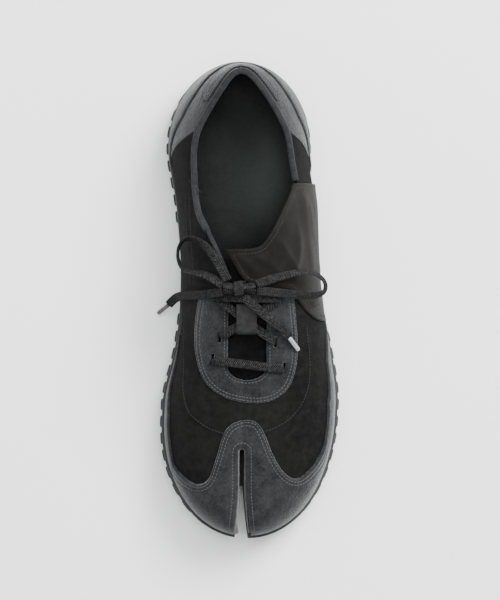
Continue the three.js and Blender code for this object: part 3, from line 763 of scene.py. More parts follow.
def add_area(name, place, aim, size, power):
    data = bpy.data.lights.new(name, "AREA")
    data.size = size
    data.energy = power
    lamp = bpy.data.objects.new(name, data)
    bpy.context.scene.collection.objects.link(lamp)
    lamp.location = place
    lamp.rotation_euler = (Vector(aim) - Vector(place)).to_track_quat("-Z", "Y").to_euler()


def add_studio():
    world = bpy.data.worlds.new("studio")
    bpy.context.scene.world = world
    world.use_nodes = True
    sky = world.node_tree.nodes["Background"]
    sky.inputs["Color"].default_value = (0.96, 0.98, 1.0, 1)
    sky.inputs["Strength"].default_value = 0.55
    add_area("key", (0.9, 1.1, 1.5), (0, 0, 0), 1.0, 100)
    add_area("fill", (-1.1, 0.3, 1.6), (0, 0, 0), 1.2, 6)
    add_area("top", (0.0, 0.3, 2.2), (0, 0, 0), 1.6, 55)
    floor = new_object("floor", [(-3000, -3000, 0), (3000, -3000, 0), (3000, 3000, 0),
                                 (-3000, 3000, 0)], [(0, 1, 2, 3)], smooth_faces=False)
    material, tree, shader = make_material("floor_paper")
    tone = noise(tree, object_coords(tree), 3, 2, 0.5)
    tree.links.new(ramp(tree, tone, [(0.3, (0.90, 0.90, 0.90)), (0.7, (0.93, 0.93, 0.93))]),
                   shader.inputs["Base Color"])
    shader.inputs["Roughness"].default_value = 0.9
    floor.data.materials.append(material)


add_camera()
add_studio()

# Flat lace: ribbons along chosen routes


def rounded_section(width, thick, count=14):
    turn = (np.arange(count) + 0.5) / count * 2 * math.pi
    c, s = np.cos(turn), np.sin(turn)
    across = np.sign(c) * np.abs(c) ** 0.55 * width / 2
    up = np.sign(s) * np.abs(s) ** 0.8 * thick / 2
    return across, up


def sweep(name, centre, across_dir, section, material, taper=None):
    """A closed band along a line. across_dir is the section's width direction there."""
    across, up = section
    t = tangents(centre)
    side = across_dir - np.sum(across_dir * t, 1, keepdims=True) * t
    side /= np.maximum(np.linalg.norm(side, axis=1, keepdims=True), 1e-9)
    rise = np.cross(side, t)
    n, m = len(centre), len(across)
    scale = np.ones(n) if taper is None else taper
    verts = (centre[:, None, :] + side[:, None, :] * (across[None, :, None] * scale[:, None, None])
             + rise[:, None, :] * (up[None, :, None] * scale[:, None, None])).reshape(-1, 3)
    faces = []
    for i in range(n - 1):
        for j in range(m):
            k = (j + 1) % m
            faces.append((i * m + j, i * m + k, (i + 1) * m + k, (i + 1) * m + j))
    faces.append(tuple(range(m))[::-1])
    faces.append(tuple((n - 1) * m + j for j in range(m)))
    reach = np.concatenate([[0], np.cumsum(np.linalg.norm(np.diff(centre, axis=0), axis=1))])
    uvs = np.stack([np.repeat(reach, m), np.tile(across, n)], 1)
    obj = new_object(name, verts, faces, [material], uvs=uvs)
    with edited(obj) as mesh:
        bmesh.ops.recalc_face_normals(mesh, faces=mesh.faces)
    return obj


def lace_directions(centre, turns):
    """Width directions that turn from flat (0) to on edge (90) by the given degrees."""
    t = tangents(centre)
    level = np.cross(t, [0, 0, 1])
    level /= np.maximum(np.linalg.norm(level, axis=1, keepdims=True), 1e-9)
    lift = np.cross(level, t)
    places = np.linspace(0, 1, len(centre))
    angle = np.radians(np.interp(places, np.linspace(0, 1, len(turns)), turns))
    return level * np.cos(angle)[:, None] + lift * np.sin(angle)[:, None]


LACE_SECTION = rounded_section(LACE_WIDTH, LACE_THICK)
CORD_ROUTES = {
    "lace_loop_medial": dict(
        route=[(-17.9, 9.0, 85.4), (-21.8, 11.8, 83.6), (-26.4, 14.4, 79.6), (-32.0, 16.4, 74.3),
               (-38.0, 17.2, 67.0), (-43.3, 20.4, 59.5), (-45.4, 27.5, 56.5), (-43.9, 34.0, 59.0),
               (-38.8, 37.6, 65.5), (-31.8, 35.5, 74.2), (-25.6, 29.5, 80.6), (-20.4, 21.5, 84.4),
               (-17.2, 15.6, 85.6), (-14.8, 11.9, 86.1)],
        turns=[0, -20, -35, -50, -62, -70, -75, -70, -60, -45, -30, -15, 0, 0],
        length=107.0),
    "lace_loop_lateral": dict(
        route=[(2.4, 9.5, 86.4), (8.5, 11.9, 86.4), (17.0, 14.1, 84.6), (26.5, 16.7, 79.0),
               (33.0, 17.4, 72.6), (41.0, 15.0, 64.0), (45.6, 10.0, 60.0), (44.9, 4.8, 60.4),
               (38.5, 2.8, 66.0), (31.0, 3.0, 72.3), (23.0, 3.6, 78.0), (14.0, 4.6, 83.0),
               (7.5, 5.4, 85.3), (2.5, 5.6, 85.9)],
        turns=[0, 15, 30, 45, 55, 62, 65, 62, 50, 35, 20, 10, 0, 0],
        length=109.0),
    "lace_end_medial": dict(
        route=[(-18.3, 5.0, 84.8), (-21.2, 4.5, 82.6), (-24.8, 3.9, 78.4), (-29.5, 3.2, 71.5),
               (-34.5, 2.9, 61.5), (-39.3, 2.8, 50.5), (-43.2, 2.4, 38.5), (-46.2, 1.2, 27.0),
               (-48.9, -1.4, 17.0), (-50.2, -2.8, 12.6)],
        turns=[0, 0, 0, 5, 0, -5, 0, 5, 0, 0],
        length=80.0),
    "lace_end_lateral": dict(
        route=[(-5.5, 1.5, 85.2), (-0.5, -2.4, 84.0), (5.0, -6.9, 81.8), (11.0, -12.2, 77.6),
               (17.6, -16.8, 73.0), (22.6, -22.6, 68.7)],
        turns=[0, 10, 15, 10, 0, 0],
        length=40.0),
}
AGLETS = {
    "aglet_medial": dict(ends=[(-50.4, -3.0, 12.1), (-56.8, -8.2, 2.1)], material=AGLET_DARK),
    # The lateral tip's pale colour is a painted highlight.
    "aglet_lateral": dict(ends=[(22.9, -23.1, 68.3), (28.5, -30.5, 61.8)], material=AGLET_PAINTED_HIGHLIGHT),
}


def add_aglet(name):
    start, end = (np.array(p, float) for p in AGLETS[name]["ends"])
    line = start + (end - start) * np.linspace(0, 1, 24)[:, None]
    reach = np.linspace(0, 1, 24)
    taper = np.where(reach < 0.06, 0.9, 1.0) * np.where(reach > 0.95, 0.86, 1.0)
    section = rounded_section(2.6, 1.9, 16)
    flat = np.cross(end - start, [0, 0, 1])
    piece = sweep(name + "_tip", line, np.tile(flat, (24, 1)), section,
                  AGLETS[name]["material"], taper)
    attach(piece, "root")
    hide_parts(name)
    return piece


def join(objects, name):
    bpy.ops.object.select_all(action="DESELECT")
    for obj in objects:
        obj.select_set(True)
    bpy.context.view_layer.objects.active = objects[0]
    bpy.ops.object.join()
    objects[0].name = name
    return objects[0]


KNOT_MIDDLE = np.array([-8.0, 7.0, 85.7])


def make_knot():
    turn = np.linspace(0, 2 * math.pi * 0.985, 40)
    ring = KNOT_MIDDLE + np.stack([np.linspace(-0.8, 0.8, 40), 4.0 * np.cos(turn),
                                   2.7 * np.sin(turn)], 1)
    parts = [sweep("knot_wrap", ring, np.tile([1.0, 0.12, 0], (40, 1)),
                   rounded_section(6.0, 1.2), LACE)]
    for side, height in ((-1, 0.4), (1, 0.2)):
        for offset, drop in ((1.6, 0.6), (-1.8, -0.5)):
            line = spline([
                KNOT_MIDDLE + np.array([0, offset * 0.4, drop * 0.5]),
                KNOT_MIDDLE + np.array([side * 4.5, offset * 0.7, drop + height]),
                KNOT_MIDDLE + np.array([side * 9.8, offset * 1.2, drop * 0.4])], 18)
            taper = np.interp(np.linspace(0, 1, 18), [0, 0.6, 1], [0.8, 1.0, 0.75])
            level = np.cross(tangents(line), [0, 0.5 * offset, 1.0])
            parts.append(sweep("knot_fold", line, level, rounded_section(5.0, 1.7), LACE, taper))
    knot = join(parts, "lace_knot_tied")
    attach(knot, "root")
    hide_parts("lace_knot")
    return knot


def add_cords():
    tips = {name: add_aglet(name) for name in AGLETS}
    knot = make_knot()
    for name, facts in CORD_ROUTES.items():
        route = relax(resample(spline(facts["route"], 240), 1.0), 20)
        directions = lace_directions(route, facts["turns"])
        piece = sweep(name + "_ribbon", route, directions, LACE_SECTION, LACE)
        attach(piece, "root")
        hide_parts(name)


add_cords()

# The upper's surface and the outlines that its pieces are cut by

BASE = surface(end_weighted(150), np.linspace(-1, 1, 121))
BASE_POINTS = BASE.points(0.0)
BASE_TREE = BVHTree.FromPolygons(BASE_POINTS.tolist(), BASE.tris.tolist())


def on_top(x, y, grow=0.0):
    """The place on the upper's outer face under a plan point, grow mm outside it."""
    spot, normal, _, _ = BASE_TREE.ray_cast(Vector((x, y, 200)), Vector((0, 0, -1)))
    if spot is None:
        return None, None
    n = np.array(normal)
    n = n if n[2] > 0 else -n
    return np.array(spot) + n * grow, n


def slit_outline(beside, length):
    half = SLIT_GAP / 2 + beside
    tip, end = y_at(0) - 5, y_at(0) + length
    y = np.linspace(tip, end - half, 40)
    near = np.clip(1 - (y - y_at(0)) / (SLIT_LENGTH * 0.55), 0, 1)
    x = half + SLIT_FLARE * near ** 1.3
    turn = np.linspace(0, math.pi, 13)[1:-1]
    right = np.stack([SLIT_ACROSS + x, y], 1)
    back = np.stack([SLIT_ACROSS + half * np.cos(turn), end - half + half * np.sin(turn)], 1)
    left = np.stack([SLIT_ACROSS - x, y], 1)[::-1]
    return np.concatenate([right, back, left])


THROAT_MIDDLE = BALL_WIDTH * -0.026
THROAT_TOP = SOLE_LENGTH * 0.027
THROAT_BOTTOM = THROAT_TOP - THROAT_LENGTH


def throat_side(beside):
    """The medial edge above the lacing, where the opening widens towards the collar."""
    half = THROAT_WIDTH / 2 + beside
    rows = [(0.72, 0.155), (0.50, 0.115), (0.20, 0.062), (-0.02, 0.020)]
    return np.array([(THROAT_MIDDLE - half - THROAT_WIDTH * out, THROAT_TOP + SOLE_LENGTH * up)
                     for out, up in rows])


def throat_outline(beside):
    half = THROAT_WIDTH / 2 + beside
    turn = np.linspace(0, math.pi, 25)
    arc = np.stack([THROAT_MIDDLE - half * np.cos(turn),
                    THROAT_BOTTOM + half * 0.72 * (1 - np.sin(turn)) - beside], 1)
    medial = throat_side(beside)
    lateral = np.stack([2 * THROAT_MIDDLE - medial[:, 0], medial[:, 1]], 1)[::-1]
    return np.concatenate([medial, arc, lateral])


CAP_EDGE = [
    (-0.70, 0.302), (-0.497, 0.294), (-0.475, 0.200), (-0.430, 0.155), (-0.360, 0.126),
    (-0.295, 0.116), (-0.240, 0.128), (-0.200, 0.168), (-0.162, 0.215), (-0.118, 0.240),
    (-0.040, 0.251), (0.030, 0.246), (0.075, 0.222), (0.118, 0.182), (0.170, 0.148),
    (0.225, 0.130), (0.275, 0.129), (0.325, 0.143), (0.375, 0.165), (0.415, 0.197),
    (0.442, 0.240), (0.455, 0.302), (0.70, 0.306),
]
GUARD_MEDIAL = [(0.20, 1.88), (0.26, 1.84), (0.31, 1.76), (0.37, 1.52), (0.42, 1.12), (0.47, 0.90)]
GUARD_LATERAL = [(0.20, 2.05), (0.26, 2.1), (0.31, 2.12), (0.37, 2.10), (0.42, 1.80), (0.47, 1.12)]


def cap_outline():
    edge = spline([(a * BALL_WIDTH, y_at(at)) for a, at in CAP_EDGE], 160)
    front = [(BALL_WIDTH, y_at(-0.1)), (-BALL_WIDTH, y_at(-0.1))]
    return np.concatenate([edge, front])


def eyestay_outline():
    wide = THROAT_WIDTH / 2 + EYESTAY_BORDER
    rows = [
        (-0.93, THROAT_TOP - THROAT_LENGTH * 0.05), (-1.02, THROAT_BOTTOM + THROAT_LENGTH * 0.57),
        (-1.00, THROAT_BOTTOM + THROAT_LENGTH * 0.27), (-0.84, THROAT_BOTTOM),
        (-0.50, THROAT_BOTTOM - EYESTAY_BORDER * 0.50), (0.00, THROAT_BOTTOM - EYESTAY_BORDER * 0.73),
        (0.48, THROAT_BOTTOM - EYESTAY_BORDER * 0.67), (0.82, THROAT_BOTTOM - EYESTAY_BORDER * 0.24),
        (0.97, THROAT_BOTTOM + THROAT_LENGTH * 0.16), (0.99, THROAT_BOTTOM + THROAT_LENGTH * 0.45),
        (0.90, THROAT_TOP - THROAT_LENGTH * 0.05),
    ]
    return spline([(x * wide + THROAT_MIDDLE, y) for x, y in rows], 120)


FLAP_COLLAR = [(0.225, 0.741), (0.206, 0.720), (0.159, 0.683), (0.094, 0.636), (0.021, 0.608),
               (-0.151, 0.604)]
FLAP_FRONT = [(-0.151, 0.604), (-0.105, 0.573), (-0.055, 0.543), (0.009, 0.530), (0.101, 0.526),
              (0.211, 0.520), (0.248, 0.500), (0.303, 0.475), (0.376, 0.458), (0.477, 0.4525)]


def flap_outline(forward=0.0):
    plan = lambda rows: [(across * BALL_WIDTH, y_at(at)) for across, at in rows]
    outline = np.concatenate([spline(plan(FLAP_COLLAR), 60), spline(plan(FLAP_FRONT), 80)[1:],
                              plan([(0.7, 0.4525), (0.7, 0.7475)])])
    return outline - np.array([0, forward])


def tongue_outline():
    half = THROAT_WIDTH / 2
    left = [(-half - 9, THROAT_TOP + 18), (-half - 10, THROAT_TOP - 10), (-half - 8, THROAT_BOTTOM + 8),
            (-half, THROAT_BOTTOM - 6), (0, THROAT_BOTTOM - 11)]
    right = [(-x, y) for x, y in left[:-1]][::-1]
    return spline([(x + THROAT_MIDDLE, y) for x, y in left + right], 100)


COUNTER_ROWS = [(0.775, 1.0), (0.80, 1.12), (0.84, 1.52), (0.88, 1.92), (0.93, 2.12), (1.02, 2.2)]
TAB_ROWS = [(0.905, 7.0), (0.912, 2.52), (0.94, 2.36), (1.02, 2.3)]
SLOTS = {
    "low_medial": (-THROAT_WIDTH * 0.88, THROAT_LENGTH * 0.23, 0.15),
    "low_lateral": (THROAT_WIDTH * 0.94, THROAT_LENGTH * 0.132, 0.15),
    "mid_medial": (-THROAT_WIDTH * 0.70, THROAT_LENGTH * 0.463, 0.0),
    "mid_lateral": (THROAT_WIDTH * 0.72, THROAT_LENGTH * 0.409, 0.0),
    "top_medial": (-THROAT_WIDTH * 0.80, THROAT_LENGTH * 0.910, 0.0),
    "top_lateral": (THROAT_WIDTH * 0.80, THROAT_LENGTH * 0.893, 0.0),
}
SLOT_LENGTH = 6.6
SLOT_WIDTH = 1.8
HALF_GIRTH = 92.0


def slot_place(name):
    across, up, _ = SLOTS[name]
    return np.array([THROAT_MIDDLE + across, THROAT_BOTTOM + up])


def slot_field(points):
    """Distance outside the nearest lace slot, in plan."""
    best = np.full(len(points), 1e9)
    for name, (_, _, turn) in SLOTS.items():
        x, y = slot_place(name)
        dx, dy = points[:, 0] - x, points[:, 1] - y
        run = dx * math.sin(turn) + dy * math.cos(turn)
        side = dx * math.cos(turn) - dy * math.sin(turn)
        over = np.maximum(np.abs(run) - (SLOT_LENGTH - SLOT_WIDTH) / 2, 0)
        best = np.minimum(best, np.hypot(over, side) - SLOT_WIDTH / 2)
    return best


def collar_height(y):
    return along(COLLAR_ROWS, "height", share_at(y))


def below_collar(points, lift=0.0):
    """How far a point lies below the collar edge raised by lift; large ahead of the collar."""
    gap = collar_height(points[:, 1]) + lift - points[:, 2]
    ahead = (y_at(0.600) - points[:, 1]) * 1.5
    return np.maximum(gap, ahead)


def outside_slit(points, beside=0.0, length=SLIT_LENGTH):
    return -polygon_field(points[:, :2], slit_outline(beside, length))


def outside_throat(points, beside=0.0):
    field = -polygon_field(points[:, :2], throat_outline(beside))
    return np.where(points[:, 2] > HEEL_STACK * 1.6, field, 50.0)


def side_field(points, rows, scale):
    """Distance below a side profile given as (place along, height share of scale)."""
    at = [y_at(a) for a, _ in rows]
    heights = [h * scale for _, h in rows]
    gap = np.interp(points[:, 1], at, heights) - points[:, 2]
    slope = np.interp(points[:, 1], at[:-1], np.diff(heights) / np.diff(at))
    return gap / np.sqrt(1 + slope ** 2)


def cloth_uv(patch):
    """Cloth lengths in millimetres: along the shoe, and round its girth."""
    p = patch.points(0.0)
    return np.stack([p[:, 1], patch.lean * HALF_GIRTH], 1)


# Pieces of the upper

STITCH_LINES = []
SLIT_ROUND = 2.2
VAMP_SEAM = [(-42.6, 30), (-42.6, -20), (-42.6, -37.9), (-43, -56.3), (-39.6, -69.2), (-31.4, -77),
             (-22.3, -81.7), (-6, -85), (11.1, -81.3), (20.2, -77), (28.4, -70.1), (34, -61),
             (37.1, -49.5), (37.1, -32.3), (35.3, -15), (34, 30)]
VAMP_STEP = 0.3

# Seams on the quarters, and the bar tacks beside the lacing, each as plan points.
QUARTER_SEAMS = [
    [(-37.6, 62), (-37.0, 44), (-36.0, 26), (-35.0, 10)],
    [(-40.0, 62), (-39.4, 44), (-38.4, 26), (-37.4, 10)],
    [(-37.4, 72.6), (-32.4, 65.0)],
    [(-36.4, 73.6), (-31.4, 66.0)],
]


def rounded_at_slit(points, beside=0.0):
    """Lowers what lies close to the slit, so that its edges turn in."""
    away = outside_slit(points, beside, SLIT_LENGTH)
    inward = np.clip(1 - away / SLIT_ROUND, 0, 1)
    drop = SLIT_ROUND * (1 - np.sqrt(1 - inward ** 2))
    lowered = points.copy()
    lowered[:, 2] -= drop
    return lowered


def vamp_outline():
    return spline(VAMP_SEAM, 140)


def note_stitches(patch, field, at, grow, thread, keep=None):
    """Remembers a row of stitches where field equals at, on the surface grow mm out."""
    for line in iso_lines(patch, field - at):
        share, lean = line[:, 0], line[:, 1]
        points = upper_point(share, lean, grow)
        points = rounded_at_slit(points, CLEARANCE)
        normals = surface_normal(share, lean, grow)
        if keep is not None:
            mask = keep(points)
            runs = np.split(np.arange(len(mask)), np.where(np.diff(mask.astype(int)) != 0)[0] + 1)
            runs = [run for run in runs if mask[run[0]] and len(run) > 4]
        else:
            runs = [np.arange(len(points))]
        for run in runs:
            STITCH_LINES.append((points[run], normals[run], thread))


def heel_front(z):
    """Where the suede of the back quarter starts along the shoe, at a height."""
    return y_at(0.795) + (z - HEEL_STACK) * 0.42


def heel_panel(part):
    p = part.points(0.0)
    return p[:, 1] - heel_front(p[:, 2])


def note_seam(rows):
    """Remembers a row of stitches on the upper from one plan point to the next."""
    spots = [on_top(x, y, 0.1) for x, y in resample(spline(rows, 40), 1.0)]
    spots = [(spot, n) for spot, n in spots if spot is not None]
    points = np.array([spot for spot, _ in spots])
    normals = np.array([n for _, n in spots])
    STITCH_LINES.append((points, normals, THREAD_DARK))


def make_upper():
    patch = surface(end_weighted(190), leans(151))
    vamp = vamp_outline()

    def opening(part):
        p = part.points(0.0)
        return np.minimum.reduce([below_collar(p), outside_slit(p, 0.9), outside_throat(p),
                                  slot_field(p)])

    patch = clip(patch, opening(patch))
    panel = lambda part: polygon_field(part.points(0.0)[:, :2], vamp)
    patch = sculpted(patch, panel, [-0.35, 0.35])
    patch = sculpted(patch, heel_panel, [-0.3, 0.0, 0.3])
    grow = VAMP_STEP * (smooth(panel(patch) / 0.7 + 0.5) + smooth(heel_panel(patch) / 0.6 + 0.5))
    outer = rounded_at_slit(patch.points(grow), CLEARANCE)
    inner = rounded_at_slit(patch.points(-WALL), CLEARANCE)
    piece = slab("upper_shell", patch, outer, inner, [NYLON, LINING, SUEDE], 1, cloth_uv(patch))
    for face in piece.data.polygons:
        if face.material_index == 0 and heel_front(face.center[2] / MM) * MM < face.center[1]:
            face.material_index = 2
    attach(piece, "root")
    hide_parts("upper")
    ahead = lambda p: p[:, 1] < -14
    note_stitches(patch, panel(patch), 1.7, VAMP_STEP, THREAD_DARK, ahead)
    note_stitches(patch, heel_panel(patch), 1.6, VAMP_STEP, THREAD)
    for rows in QUARTER_SEAMS:
        note_seam(rows)


def overlay(name, node, material, region, stitch_rows, shares, columns, thick=OVERLAY):
    """A suede overlay: region gives the whole outline, and each stitch row is
    (field, distance from its edge, keep, thread)."""
    patch = surface(np.linspace(*shares), leans(columns))
    patch = clip(patch, region(patch))
    patch = sculpted(patch, region, [0.3, 0.9])
    for field, at, _, _ in stitch_rows:
        patch = sculpted(patch, field, [at - 0.4, at, at + 0.4])
    edge = region(patch)
    height = thick * (1 - (1 - np.clip(edge / 0.9, 0, 1)) ** 2.4)
    for field, at, _, _ in stitch_rows:
        height = height - 0.26 * np.exp(-((field(patch) - at) / 0.3) ** 2) * smooth(edge / 1.2)
    base = 0.12
    outer = rounded_at_slit(patch.points(base + height + 0.15), CLEARANCE)
    inner = rounded_at_slit(patch.points(base), CLEARANCE)
    piece = slab(name, patch, outer, inner, [material], 0, cloth_uv(patch))
    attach(piece, "root")
    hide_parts(node)
    for field, at, keep, thread in stitch_rows:
        note_stitches(patch, field(patch), at, base + thick - 0.1, thread, keep)
    return piece


def make_toe_cap():
    cap = cap_outline()

    def edge(part):
        p = part.points(0.3)
        plan = polygon_field(p[:, :2], cap)
        guard = np.where(p[:, 0] < 0, side_field(p, GUARD_MEDIAL, FORE_STACK),
                         side_field(p, GUARD_LATERAL, FORE_STACK))
        guard = np.minimum(guard, np.minimum(y_at(0.47) - p[:, 1], p[:, 1] - y_at(0.13)))
        return np.maximum(plan, guard)

    def slit(part):
        return outside_slit(part.points(0.3), CLEARANCE, SLIT_LENGTH)

    region = lambda part: np.minimum(edge(part), slit(part))
    away_from_slit = lambda p: outside_slit(p, 0, SLIT_LENGTH) > 4.5
    slit_only = lambda p: p[:, 1] < y_at(0) + SLIT_LENGTH + 6
    rows = [(edge, 1.5, away_from_slit, THREAD), (edge, 3.5, away_from_slit, THREAD),
            (slit, 4.0, slit_only, THREAD)]
    overlay("toe_cap_suede", "toe_cap", SUEDE, region, rows, (0, 0.47, 150), 150)


def make_slit_walls():
    outline = slit_outline(CLEARANCE + 0.2, SLIT_LENGTH)
    outline = resample(outline, 1.2)
    outline = outline[outline[:, 1] > y_at(0) + TOE_LEDGE - 1.2]
    t = tangents(outline)
    out = np.stack([t[:, 1], -t[:, 0]], 1)
    middle = np.array([SLIT_ACROSS, y_at(0) + 20])
    if np.sum(out[5] * (outline[5] - middle)) < 0:
        out = -out
    rows = []
    kept = []
    for i, (x, y) in enumerate(outline):
        spot, _ = on_top(x + out[i, 0] * 2.0, y + out[i, 1] * 2.0, 1.2)
        if spot is None:
            continue
        foot = float(along(SOLE_RISE, "top", share_at(y))) + CLEARANCE
        kept.append(i)
        rows.append((foot, max(foot + 1.0, spot[2] - 1.9)))
    outline, out = outline[kept], out[kept]
    levels = np.linspace(0, 1, 9)
    faces, verts = [], []
    columns = len(levels)
    for layer in (0.0, 1.0):
        for (x, y), (ox, oy), (low, high) in zip(outline, out, rows):
            for u in levels:
                lean_in = 0.5 * u ** 8 + layer
                verts.append((x + ox * lean_in, y + oy * lean_in, low + (high - low) * u))
    n = len(outline)
    for i in range(n - 1):
        for j in range(columns - 1):
            a = i * columns + j
            faces.append((a, a + columns, a + columns + 1, a + 1))
            b = a + n * columns
            faces.append((b, b + 1, b + columns + 1, b + columns))
        for j in (0, columns - 1):
            a = i * columns + j
            b = a + n * columns
            faces.append((a, b, b + columns, a + columns))
    for i in (0, n - 1):
        for j in range(columns - 1):
            a = i * columns + j
            b = a + n * columns
            faces.append((a, a + 1, b + 1, b))
    piece = new_object("slit_walls", verts, faces, [SUEDE])
    merge_close(piece, 0.001)
    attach(piece, "root")


def make_eyestay():
    outline = eyestay_outline()
    flap = flap_outline(0.6)

    def outer(part):
        p = part.points(0.3)
        return np.minimum(polygon_field(p[:, :2], outline), -polygon_field(p[:, :2], flap))

    def throat(part):
        return outside_throat(part.points(0.3))

    def region(part):
        return np.minimum.reduce([outer(part), throat(part), slot_field(part.points(0.3))])

    clear_of_throat = lambda p: outside_throat(p) > 1.0
    clear_of_slots = lambda p: (slot_field(p) > 0.8) & (p[:, 1] < THROAT_TOP - 4)
    rows = [(outer, 1.4, clear_of_throat, THREAD), (outer, 3.3, clear_of_throat, THREAD),
            (throat, 1.7, clear_of_slots, THREAD)]
    overlay("eyestay_suede", "eyestay", SUEDE, region, rows, (0.12, 0.58, 190), 190)


def make_heel_counter():
    def counter(part):
        p = part.points(0.3)
        return np.minimum(side_field(p, COUNTER_ROWS, HEEL_STACK), p[:, 1] - y_at(0.775))

    rows = [(counter, 1.5, None, THREAD), (counter, 3.4, None, THREAD)]
    overlay("heel_counter_suede", "heel_counter", SUEDE, counter, rows, (0.70, 1, 90), 260)


def make_heel_tab():
    def tab(part):
        p = part.points(0.3)
        above = -side_field(p, TAB_ROWS[1:], HEEL_STACK)
        ahead = p[:, 1] - y_at(0.908)
        return np.minimum.reduce([above, ahead, below_collar(p, -BINDING_HEIGHT * 0.3)])

    rows = [(tab, 1.4, None, THREAD), (tab, 3.2, None, THREAD)]
    overlay("heel_tab_suede", "heel_tab", SUEDE, tab, rows, (0.75, 1, 80), 300)


def make_binding():
    patch = surface(end_weighted(220), np.linspace(-1, 1, 161))
    lines = iso_lines(patch, below_collar(patch.points(-WALL / 2)))
    line = max(lines, key=len)
    if line[0, 1] > 0:
        line = line[::-1]
    # The line starts and ends at the heel, so its second half comes first.
    middle = np.argmin(np.abs(line[:, 1][20:-20])) + 20
    line = np.concatenate([line[middle:], line[:middle]])
    points = upper_point(line[:, 0], line[:, 1], -WALL / 2)
    normals = surface_normal(line[:, 0], line[:, 1], -WALL / 2)
    medial = (points[:, 0] < THROAT_MIDDLE) & (points[:, 1] > y_at(0.622))
    lateral = (points[:, 0] >= THROAT_MIDDLE) & (points[:, 1] > y_at(0.746))
    keep = (medial | lateral) & (outside_throat(points) > CLEARANCE)
    ids = np.where(keep)[0]
    runs = np.split(ids, np.where(np.diff(ids) != 1)[0] + 1)
    run = max(runs, key=len)
    both = np.concatenate([points[run], normals[run]], 1)
    both = relax(resample(both, 1.5), 6)
    centre = both[:, :3] + np.array([0, 0, CLEARANCE + BINDING_HEIGHT / 2])
    side = both[:, 3:] * np.array([1, 1, 0.15])
    section = rounded_section(WALL + BINDING_PROUD * 2, BINDING_HEIGHT, 18)
    piece = sweep("collar_roll", centre, side, section, BINDING_SUEDE)
    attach(piece, "root")
    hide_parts("collar_binding")


def make_throat_edge():
    """The light piping on the medial edge of the opening, down to the lacing."""
    path = []
    for x, y in spline(throat_side(0), 60):
        spot, _ = on_top(x - 0.4, y, -0.4)
        if spot is not None and spot[2] < float(collar_height(y)) + 3:
            path.append(spot)
    path = relax(resample(np.array(path), 1.2), 3)
    side = np.cross(tangents(path), [0, 0, 1])
    piece = sweep("throat_piping", path, side, rounded_section(2.6, 2.6, 12), BINDING_SUEDE)
    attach(piece, "root")


def make_tongue():
    outline = tongue_outline()
    region = lambda part: polygon_field(part.points(-2.0)[:, :2], outline)
    patch = surface(np.linspace(0.2, 0.75, 120), np.linspace(-0.55, 0.55, 90))
    patch = clip(patch, region(patch))
    patch = sculpted(patch, region, [0.4, 1.2, 3.0])
    edge = region(patch)
    top = -WALL - CLEARANCE
    fall = 0.6 * (1 - np.clip(edge / 1.2, 0, 1)) ** 2
    pad = 0.35 * smooth((edge - 3) / 4) - 0.35
    piece = slab("tongue_panel", patch, patch.points(top - fall + pad),
                 patch.points(top - TONGUE_THICK + fall * 0.5), [TONGUE_CLOTH], 0, cloth_uv(patch))
    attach(piece, "root")
    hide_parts("tongue")


# Soft folds of the wrap cloth: width and height in mm, and the line each follows in plan.
FLAP_FOLDS = [
    (2.6, 1.1, [(30.6, 69), (32.0, 56), (33.8, 40), (36.2, 24), (38.0, 12)]),
    (2.4, 1.0, [(27.4, 44), (28.2, 34), (27.6, 25), (24.8, 13)]),
    (2.2, 0.9, [(14.0, 39), (19.0, 31), (24.0, 23), (27.0, 14)]),
    (3.2, 0.8, [(-12.0, 29), (-4.4, 22.6), (4.6, 14.6)]),
    (2.6, 0.7, [(-2.0, 29), (8.0, 23.5), (15.4, 16.6), (19.0, 11.0)]),
    (1.3, 0.9, [(32.0, -6.0), (37.5, -4.4), (43.0, -2.0)]),
    (2.0, 0.7, [(23.0, 67), (20.6, 56), (17.0, 46)]),
    (2.2, 1.0, [(37.6, 66), (38.2, 50), (39.4, 36), (40.8, 20), (41.4, 6)]),
    (1.5, 0.7, [(34.4, 60), (35.6, 47), (37.4, 33)]),
    (2.0, 0.8, [(40.8, 4), (39.0, 0), (35.0, -3.4)]),
]


def fold_heights(points):
    total = np.zeros(len(points))
    for width, height, rows in FLAP_FOLDS:
        line = spline(rows, 30)
        ends = np.linspace(0, 1, len(line))
        best = np.full(len(points), 1e9)
        place = np.zeros(len(points))
        for spot, u in zip(line, ends):
            away = np.hypot(points[:, 0] - spot[0], (points[:, 1] - spot[1]) * 0.9)
            closer = away < best
            best[closer] = away[closer]
            place[closer] = u
        fade = np.clip(np.minimum(place, 1 - place) / 0.25, 0, 1)
        total += height * (0.25 + 0.75 * smooth(fade)) * np.exp(-(best / width) ** 2)
    return total


def make_flap():
    outline = flap_outline()

    def region(part):
        p = part.points(0.4)
        low = np.interp(p[:, 1], [y_at(0.4), y_at(0.8)], [HEEL_STACK * 0.9, HEEL_STACK])
        return np.minimum(polygon_field(p[:, :2], outline), p[:, 2] - low)

    def free_edge(part):
        return polygon_field(part.points(0.4)[:, :2], outline)

    patch = surface(np.linspace(0.36, 0.82, 150), np.linspace(-0.42, 1, 180))
    patch = clip(patch, region(patch))
    patch = sculpted(patch, region, [0.3, 0.8])
    patch = sculpted(patch, free_edge, [2.6, 3.0, 3.4])
    edge = region(patch)
    folds = fold_heights(patch.points(0.4)) * smooth(edge / 9)
    hem = 0.25 * smooth((4.2 - free_edge(patch)) / 1.2)
    groove = 0.3 * np.exp(-((free_edge(patch) - 3.0) / 0.3) ** 2)
    height = FLAP_THICK * (1 - (1 - np.clip(edge / 0.8, 0, 1)) ** 2.4)
    outer = patch.points(0.3 + height + folds + hem * smooth(edge) - groove)
    inner = patch.points(0.3 + folds * 0.8)
    piece = slab("wrap_flap_panel", patch, outer, inner, [FLAP_CLOTH], 0, cloth_uv(patch))
    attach(piece, "root")
    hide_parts("wrap_flap")
    note_stitches(patch, free_edge(patch), 3.0, 0.3 + FLAP_THICK - 0.1, THREAD_DARK)


